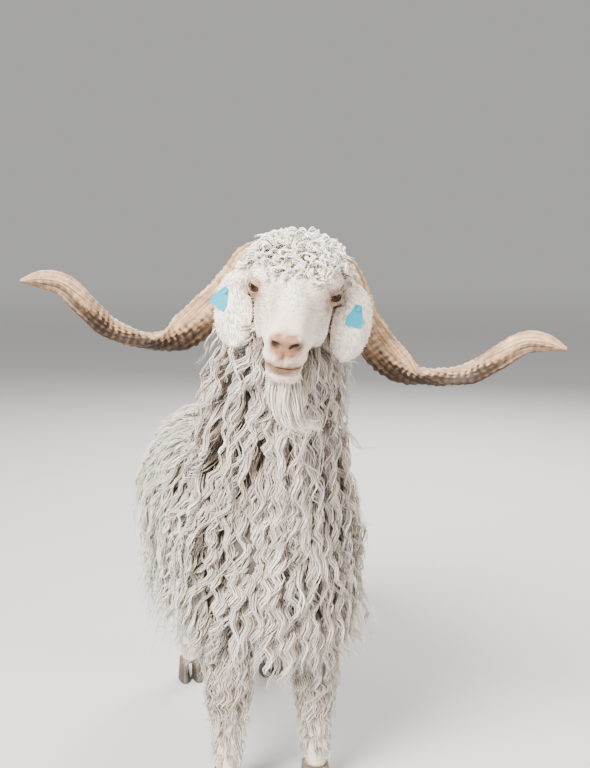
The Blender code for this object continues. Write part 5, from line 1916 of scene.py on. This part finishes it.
def build_horn(side, word, material):
    """One horn, a keeled blade that twists on its way to the tip, with its relief."""
    look = bpy.context.scene.goat_head
    light_color = np.array(look.horn)
    dark_and_shade_color = np.array(look.horn_dark_and_shade)
    phases = (1.0 + side, 2.0 - side, 0.7 * side)
    down = Vector((0.0, -0.15, -1.0)).normalized()
    down = mirrored(horn_place().to_3x3().normalized().inverted() @ down, side)
    rings = []
    colors = []
    for share in shares(HORN_RINGS):
        center, broad, narrow, half_broad, half_narrow = horn_ring_values(share, side)
        edge = min(1.0, 10 * (1 - share) + 0.2)
        upright = math.hypot(broad.dot(down) * half_broad, narrow.dot(down) * half_narrow)
        upright = max(upright, 0.001)
        ring = []
        for corner in range(HORN_CORNERS):
            angle = 2 * math.pi * corner / HORN_CORNERS
            keel = 1 + 0.16 * math.cos(angle)
            sharp = 1 - 0.10 * math.sin(2 * angle) ** 2
            relief = horn_relief(share, angle, phases) * edge - 0.0012
            away = broad * math.cos(angle) * (half_broad * sharp + relief)
            away += narrow * math.sin(angle) * (half_narrow * keel * sharp + relief)
            under = away.dot(down) / upright
            flakes = horn_flakes(share, under)
            ring.append(mirrored(center + away * (1 - 0.14 * flakes), side))
            dark = horn_shade_and_darkness(share, angle, under)
            colors.append(light_color * (1 - dark) + dark_and_shade_color * dark)
        rings.append(ring)
    colors += [colors[0], colors[-1]]
    horn = loft("horn_" + word + "_sheath", rings)
    add_ring_uv(horn, HORN_CORNERS, HORN_RINGS)
    paint_points(horn, np.array(colors))
    place_points(horn, horn_place())
    finish_piece(horn, material)
    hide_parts("horn_" + word)


def add_ring_uv(thing, corners, rings):
    """UV map of a loft: round it and along it."""
    layer = thing.data.uv_layers.new(name="Strand")
    total = corners * rings
    for face in thing.data.polygons:
        ids = [thing.data.loops[index].vertex_index for index in face.loop_indices]
        columns = [vert % corners for vert in ids]
        wraps = max(columns) - min(columns) > corners / 2
        for index, vert, column in zip(face.loop_indices, ids, columns):
            if vert >= total:
                layer.data[index].uv = (0.5, 0.0 if vert == total else 12.0)
                continue
            if wraps and column < corners / 2:
                column += corners
            layer.data[index].uv = (column / corners, vert // corners / rings * 12.0)


class GOAT_OT_horns(bpy.types.Operator):
    """Grow the two long twisted horns with their rings"""

    bl_idname = "goat.horns"
    bl_label = "Horns"

    def execute(self, context):
        """Build both horns."""
        material = horn_material()
        for side, word in SIDES:
            build_horn(side, word, material)
        return {"FINISHED"}


class GOAT_OT_eyes(bpy.types.Operator):
    """Set the two eyes with their wide flat pupils"""

    bl_idname = "goat.eyes"
    bl_label = "Eyes"

    def execute(self, context):
        """Build both eyes."""
        iris = np.array(context.scene.goat_head.iris)
        material = eye_material()
        for side, word in SIDES:
            aim, along, up = eye_axes(side)
            center = mirrored(EYE_CENTER, side)
            ball = ellipsoid("eyeball_" + word, center, (EYE_RADIUS,) * 3, None, 96, 64)
            away = (points_of(ball) - np.array(center)) / EYE_RADIUS
            length = away @ np.array(along)
            height = away @ np.array(up)
            front = away @ np.array(aim) > 0
            rim = np.sqrt(length ** 2 + height ** 2) / IRIS_REACH
            glow = iris * (1.35 - 0.75 * np.clip(rim, 0, 1)[:, None] ** 3)
            colors = np.where(((rim < 1) & front)[:, None], glow, np.array(EYE_WHITE_COLOR))
            pupil = np.abs(length / PUPIL_REACH[0]) ** 3 + np.abs(height / PUPIL_REACH[1]) ** 3
            colors[(pupil < 1) & front] = PUPIL_COLOR
            paint_points(ball, colors)
            bulge = CORNEA_RISE * np.clip(1 - rim, 0, 1) * front
            points = points_of(ball) + np.array(aim) * bulge[:, None]
            ball.data.vertices.foreach_set("co", points.ravel())
            place_points(ball, head_place())
            finish_piece(ball, material)
            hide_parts("eye_" + word)
        return {"FINISHED"}


def claw_rings(stations, side, claw):
    """Sections of one claw from its sole to the coronet."""
    across, back = read_table(stations, 1.0)[:2]
    rings = []
    for level in CLAW_LEVELS:
        scale = 1 - 0.22 * level ** 1.1 if level else CLAW_SOLE
        scale *= 1 + 0.012 * math.sin(level * 34)
        center = across * side + claw * CLAW_SPACING * (1 - 0.12 * level)
        ring = []
        for step in range(36):
            angle = 2 * math.pi * step / 36
            reach = CLAW_TOE if math.cos(angle) > 0 else CLAW_HEEL
            x_part = signed_power(math.sin(angle), 0.8) * CLAW_HALF_WIDTH * scale
            if x_part * claw < 0:
                x_part *= 0.93
            y_part = 0.014 * level - math.cos(angle) * reach * scale
            ring.append(Vector((center + x_part, back + y_part, level * CLAW_HEIGHT)))
        rings.append(ring)
    return rings


class GOAT_OT_hooves(bpy.types.Operator):
    """Shape the four cloven hooves with their dewclaws"""

    bl_idname = "goat.hooves"
    bl_label = "Hooves"

    def execute(self, context):
        """Build the hooves."""
        material = hoof_material()
        lean = Matrix.Rotation(DEWCLAW_LEAN, 4, "X")
        for stations, limb in LEGS:
            across, back = read_table(stations, 1.0)[:2]
            for side, word in SIDES:
                pieces = []
                for claw in (-1, 1):
                    pieces.append(loft("claw", claw_rings(stations, side, claw)))
                    spot = Vector((across * side + claw * 0.015, back + 0.030, 0.066))
                    pieces.append(ellipsoid("dewclaw", spot, DEWCLAW_RADII, lean, 20, 12))
                top = Vector((across * side, back + 0.006, CLAW_HEIGHT + 0.002))
                pieces.append(ellipsoid("coronet", top, CORONET_RADII))
                hoof = join(pieces)
                hoof.name = "hoof_" + limb + "_" + word + "_claws"
                pale = ramp(points_of(hoof)[:, 2], 0.030, 0.060)
                paint_points(hoof, blend(np.array(HOOF_COLOR), np.array(CORONET_COLOR), pale))
                finish_piece(hoof, material)
                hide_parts("hoof_" + limb + "_" + word)
        return {"FINISHED"}


def tag_frame(side):
    """Where a tag sits on its ear: its face, width, fall and outward directions."""
    center, across, out, half, cup = ear_frame(TAG_SHARE, side)
    offset, sink = TAG_OFFSET[side]
    center = center + across * half * offset - out * cup * sink
    down = Vector((0.0, 0.0, -1.0))
    tilt = Matrix.Rotation(TAG_TILT[side], 3, out)
    down = tilt @ (down - out * down.dot(out)).normalized()
    wide = down.cross(out).normalized()
    return center + out * (EAR_THICKNESS / 2 + 0.0012), wide, down, out


def build_tag(side, word, material):
    """One moulded tag with a raised border, its stud and the button behind."""
    face, wide, down, out = tag_frame(side)
    rings = []
    for rise, inset in TAG_SECTION:
        ring = []
        for column, row in TAG_OUTLINE:
            spot = face + wide * TAG_WIDTH * column * inset
            spot += down * TAG_HEIGHT * (TAG_MIDDLE + (row - TAG_MIDDLE) * inset)
            ring.append(spot + out * rise * TAG_THICKNESS)
        rings.append(ring)
    stud = []
    for base, rise, scale in STUD_SECTION:
        radius = TAG_PIN_RADIUS * scale
        stud.append(oval_ring(face + out * (base + rise), wide, down, radius, radius, 24))
    tag = join([loft("plate", rings), loft("stud", stud)])
    tag.name = "tag_" + word
    paint_plain(tag, bpy.context.scene.goat_head.tag)
    place_points(tag, level_head_place())
    finish_piece(tag, material)
    select_only(tag)
    bpy.ops.object.shade_smooth_by_angle(angle=math.radians(35))
    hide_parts("ear_tag_" + word)


class GOAT_OT_tags(bpy.types.Operator):
    """Fix a plain tag to each ear"""

    bl_idname = "goat.tags"
    bl_label = "Ear tags"

    def execute(self, context):
        """Build both tags."""
        material = tag_material()
        for side, word in SIDES:
            build_tag(side, word, material)
        return {"FINISHED"}


def floor_material():
    """Plain pale floor with a trace of grain, which fades into the sky far away."""
    material = mottled_material("studio floor", 0.9, (0.6, 40.0), (0.985, 1.015))
    tree = material.node_tree
    space = tree.nodes["Texture Coordinate"]
    away = add_node(tree, "VectorMath", {0: space.outputs["Object"]})
    away.operation = "LENGTH"
    fade = add_node(tree, "MapRange", {"Value": away.outputs["Value"]},
                    From_Min=FLOOR_FADE[0], From_Max=FLOOR_FADE[1])
    fade.interpolation_type = "SMOOTHSTEP"
    clear = add_node(tree, "BsdfTransparent", {})
    both = add_node(tree, "MixShader", {
        "Fac": fade.outputs["Result"], 1: tree.nodes["Principled BSDF"].outputs["BSDF"],
        2: clear.outputs["BSDF"]})
    tree.links.new(both.outputs["Shader"], tree.nodes["Material Output"].inputs["Surface"])
    return material


def soft_light(name, place, target, size, power):
    """One large area light aimed at the goat."""
    data = bpy.data.lights.new(name, "AREA")
    data.shape = "DISK"
    data.size = size
    data.energy = power
    data.color = LAMP_COLOR
    lamp = bpy.data.objects.new(name, data)
    lamp.location = place
    lamp.rotation_euler = (Vector(target) - Vector(place)).to_track_quat("-Z", "Y").to_euler()
    bpy.context.scene.collection.objects.link(lamp)


class GOAT_OT_stage(bpy.types.Operator):
    """Lay the floor, light it softly and set the photograph's camera"""

    bl_idname = "goat.stage"
    bl_label = "Stage"

    def execute(self, context):
        """Build the floor, the lights and the camera."""
        look = context.scene.goat_stage
        deselect()
        bpy.ops.mesh.primitive_circle_add(vertices=96, radius=look.floor_radius,
                                          fill_type="NGON")
        floor = context.object
        floor.name = "studio_floor"
        paint_plain(floor, look.floor)
        floor.data.materials.append(floor_material())
        for name, place, target, size, share in LAMPS:
            soft_light(name, place, target, size, look.key * share)
        world = bpy.data.worlds.new("studio")
        world.use_nodes = True
        set_values(world.node_tree.nodes["Background"], Color=SKY_COLOR, Strength=look.sky)
        context.scene.world = world
        self.camera(context.scene)
        return {"FINISHED"}

    def camera(self, scene):
        """Set the photograph's camera, level from side to side."""
        data = bpy.data.cameras.new("camera")
        data.sensor_width = 36.0
        data.lens = CAMERA_LENS
        data.clip_end = 400.0
        camera = bpy.data.objects.new("camera", data)
        toward = Vector((-math.sin(CAMERA_AZIMUTH), math.cos(CAMERA_AZIMUTH), 0.0))
        spot = EYE_MIDPOINT - toward * CAMERA_DISTANCE
        camera.location = Vector((spot.x, spot.y, CAMERA_HEIGHT)) + SHIFT
        toward = toward * math.cos(CAMERA_PITCH) - Vector((0, 0, math.sin(CAMERA_PITCH)))
        camera.rotation_euler = toward.to_track_quat("-Z", "Y").to_euler()
        scene.collection.objects.link(camera)
        scene.camera = camera


class GOAT_PT_panel(bpy.types.Panel):
    """Buttons and settings of the goat"""

    bl_label = "Angora goat"
    bl_space_type = "VIEW_3D"
    bl_region_type = "UI"
    bl_category = "Goat"

    def draw(self, context):
        """Draw the settings, then a button for each group of pieces."""
        for name, _ in SETTINGS:
            box = self.layout.box()
            settings = getattr(context.scene, name)
            for key in settings.__annotations__:
                box.prop(settings, key)
        for operator in OPERATORS:
            self.layout.operator(operator.bl_idname)


SETTINGS = (
    ("goat_coat", GoatCoatSettings),
    ("goat_head", GoatHeadSettings),
    ("goat_stage", GoatStageSettings),
)
OPERATORS = (
    GOAT_OT_stage, GOAT_OT_skin, GOAT_OT_eyes, GOAT_OT_horns, GOAT_OT_hooves, GOAT_OT_tags,
    GOAT_OT_short_hair, GOAT_OT_topknot, GOAT_OT_beard, GOAT_OT_neck_fleece,
    GOAT_OT_body_fleece, GOAT_OT_leg_fleece,
)


def register():
    """Register the settings, the operators and the panel."""
    for name, group in SETTINGS:
        bpy.utils.register_class(group)
        setattr(bpy.types.Scene, name, bpy.props.PointerProperty(type=group))
    for operator in OPERATORS:
        bpy.utils.register_class(operator)
    bpy.utils.register_class(GOAT_PT_panel)


def unregister():
    """Take away the panel, the operators and the settings."""
    bpy.utils.unregister_class(GOAT_PT_panel)
    for operator in reversed(OPERATORS):
        bpy.utils.unregister_class(operator)
    for name, group in reversed(SETTINGS):
        delattr(bpy.types.Scene, name)
        bpy.utils.unregister_class(group)


def main():
    """Build the goat in order."""
    register()
    bpy.ops.goat.stage()
    bpy.ops.goat.skin()
    bpy.ops.goat.eyes()
    bpy.ops.goat.horns()
    bpy.ops.goat.hooves()
    bpy.ops.goat.tags()
    bpy.ops.goat.short_hair()
    bpy.ops.goat.topknot()
    bpy.ops.goat.beard()
    bpy.ops.goat.neck_fleece()
    bpy.ops.goat.body_fleece()
    bpy.ops.goat.leg_fleece()
    bpy.context.view_layer.update()


if __name__ == "__main__":
    main()
